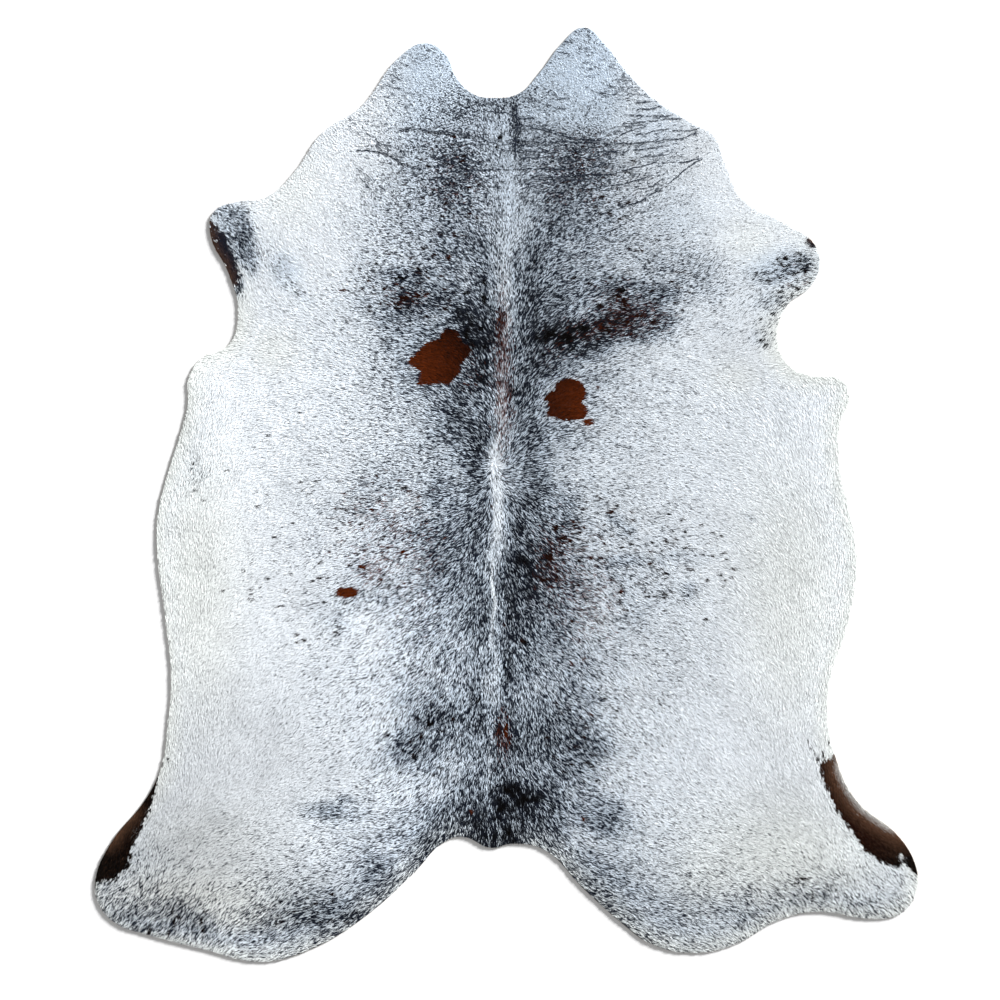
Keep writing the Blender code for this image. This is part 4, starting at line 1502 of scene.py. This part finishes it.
class RUG_OT_tan_skin(bpy.types.Operator):
    """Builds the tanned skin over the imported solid, with its suede underside"""

    bl_idname = "rug.tan_skin"
    bl_label = "Tan Skin"

    def execute(self, context):
        settings = context.scene.rug_hide
        coat = context.scene.rug_coat
        skin = new_piece("skin", skin_mesh(settings), (undercoat_material(coat), suede_material(settings)))
        rng = np.random.default_rng(SKIN_SEED)
        points = np.array([v.co[:2] for v in skin.data.vertices])
        margins = length_to_line(points, rim_line(skin))
        share, values = coat_at(points, margins, rng)
        values["pepper"] = pepper_tone(share, share)
        set_attributes(skin.data, add_marks(values, points, margins))
        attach(skin, "root")
        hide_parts("hide")
        return {"FINISHED"}


class RUG_OT_comb_coat(bpy.types.Operator):
    """Grows the short hair in tufts over the skin, in one piece for each part of the body"""

    bl_idname = "rug.comb_coat"
    bl_label = "Comb Coat"

    def execute(self, context):
        settings = context.scene.rug_coat
        skin = bpy.data.objects["skin"]
        rng = np.random.default_rng(HAIR_SEED)
        skin_map = SkinMap(skin)
        tufts = TuftField(skin_map, settings, rng)
        material = hair_material(settings)
        parts = np.array_split(np.arange(len(tufts.roots)), len(HAIR_PIECES))
        for name, picked in zip(HAIR_PIECES, parts):
            corners, coat = tufts.hairs(picked)
            if name == HAIR_PIECES[0]:
                # The neck's piece also takes the dark hairs of the fine lines, partly painted wrinkle
                # shadow.
                more, more_coat = parting_and_wrinkle_shadow_hairs(skin_map, settings, np.random.default_rng(LINE_SEED))
                corners = np.concatenate((corners, more))
                coat = {key: np.concatenate((coat[key], more_coat[key])) for key in coat}
            piece = new_piece(name, hair_mesh(name, corners, coat), (material,))
            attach(piece, "root")
        return {"FINISHED"}


class RUG_OT_set_stage(bpy.types.Operator):
    """Lays the floor and sets the lights and the camera over the rug"""

    bl_idname = "rug.set_stage"
    bl_label = "Set Stage"

    def execute(self, context):
        settings = context.scene.rug_stage
        scene = context.scene
        scene.view_settings.view_transform = "Standard"
        self.lay_floor(settings)
        self.light_room(scene, settings)
        self.hang_camera(scene, settings)
        return {"FINISHED"}

    @staticmethod
    def lay_floor(settings):
        bm = bmesh.new()
        bmesh.ops.create_grid(bm, x_segments=1, y_segments=1, size=FLOOR_HALF)
        bmesh.ops.translate(bm, verts=bm.verts, vec=(0, 0, HIDE_LOW.z - FLOOR_GAP))
        mesh = bpy.data.meshes.new("floor")
        bm.to_mesh(mesh)
        bm.free()
        material, table, out = new_material("studio floor")
        table.shade(out, {"Base Color": settings.floor, "Roughness": 0.9, "Specular IOR Level": 0.0})
        new_piece("floor", mesh, (material,))

    @staticmethod
    def light_room(scene, settings):
        world = bpy.data.worlds.new("studio")
        world.use_nodes = True
        background = world.node_tree.nodes["Background"]
        background.inputs["Color"].default_value = (1, 1, 1, 1)
        background.inputs["Strength"].default_value = settings.fill
        scene.world = world
        lamp = bpy.data.lights.new("key", "SUN")
        lamp.energy = settings.key
        lamp.angle = KEY_SOFTNESS
        key = bpy.data.objects.new("key", lamp)
        key.rotation_euler = (0, math.pi / 2 - settings.key_height, KEY_BEARING)
        scene.collection.objects.link(key)

    @staticmethod
    def hang_camera(scene, settings):
        data = bpy.data.cameras.new("camera")
        data.lens = settings.lens
        data.sensor_width = SENSOR
        view_width = PICTURE * SQUARE
        camera = bpy.data.objects.new("camera", data)
        x, y = chart_point(PICTURE / 2, PICTURE / 2)
        camera.location = (x, y, HIDE_HIGH.z + view_width * settings.lens / SENSOR)
        scene.collection.objects.link(camera)
        scene.camera = camera


class RUG_PT_cowhide(bpy.types.Panel):
    """Lists the steps that build the rug"""

    bl_idname = "RUG_PT_cowhide"
    bl_label = "Cowhide Rug"
    bl_space_type = "VIEW_3D"
    bl_region_type = "UI"
    bl_category = "Rug"

    def draw(self, context):
        scene = context.scene
        for operator, settings in (
            (RUG_OT_tan_skin, scene.rug_hide),
            (RUG_OT_comb_coat, scene.rug_coat),
            (RUG_OT_set_stage, scene.rug_stage),
        ):
            box = self.layout.box()
            for name in settings.bl_rna.properties.keys():
                if name not in ("rna_type", "name"):
                    box.prop(settings, name)
            box.operator(operator.bl_idname)


CLASSES = (
    HideSettings,
    CoatSettings,
    StageSettings,
    RUG_OT_tan_skin,
    RUG_OT_comb_coat,
    RUG_OT_set_stage,
    RUG_PT_cowhide,
)


def register():
    for item in CLASSES:
        bpy.utils.register_class(item)
    bpy.types.Scene.rug_hide = PointerProperty(type=HideSettings)
    bpy.types.Scene.rug_coat = PointerProperty(type=CoatSettings)
    bpy.types.Scene.rug_stage = PointerProperty(type=StageSettings)


def unregister():
    del bpy.types.Scene.rug_stage
    del bpy.types.Scene.rug_coat
    del bpy.types.Scene.rug_hide
    for item in reversed(CLASSES):
        bpy.utils.unregister_class(item)


def main():
    register()
    bpy.ops.rug.tan_skin()
    bpy.ops.rug.comb_coat()
    bpy.ops.rug.set_stage()
    bpy.context.view_layer.update()


if __name__ == "__main__":
    main()
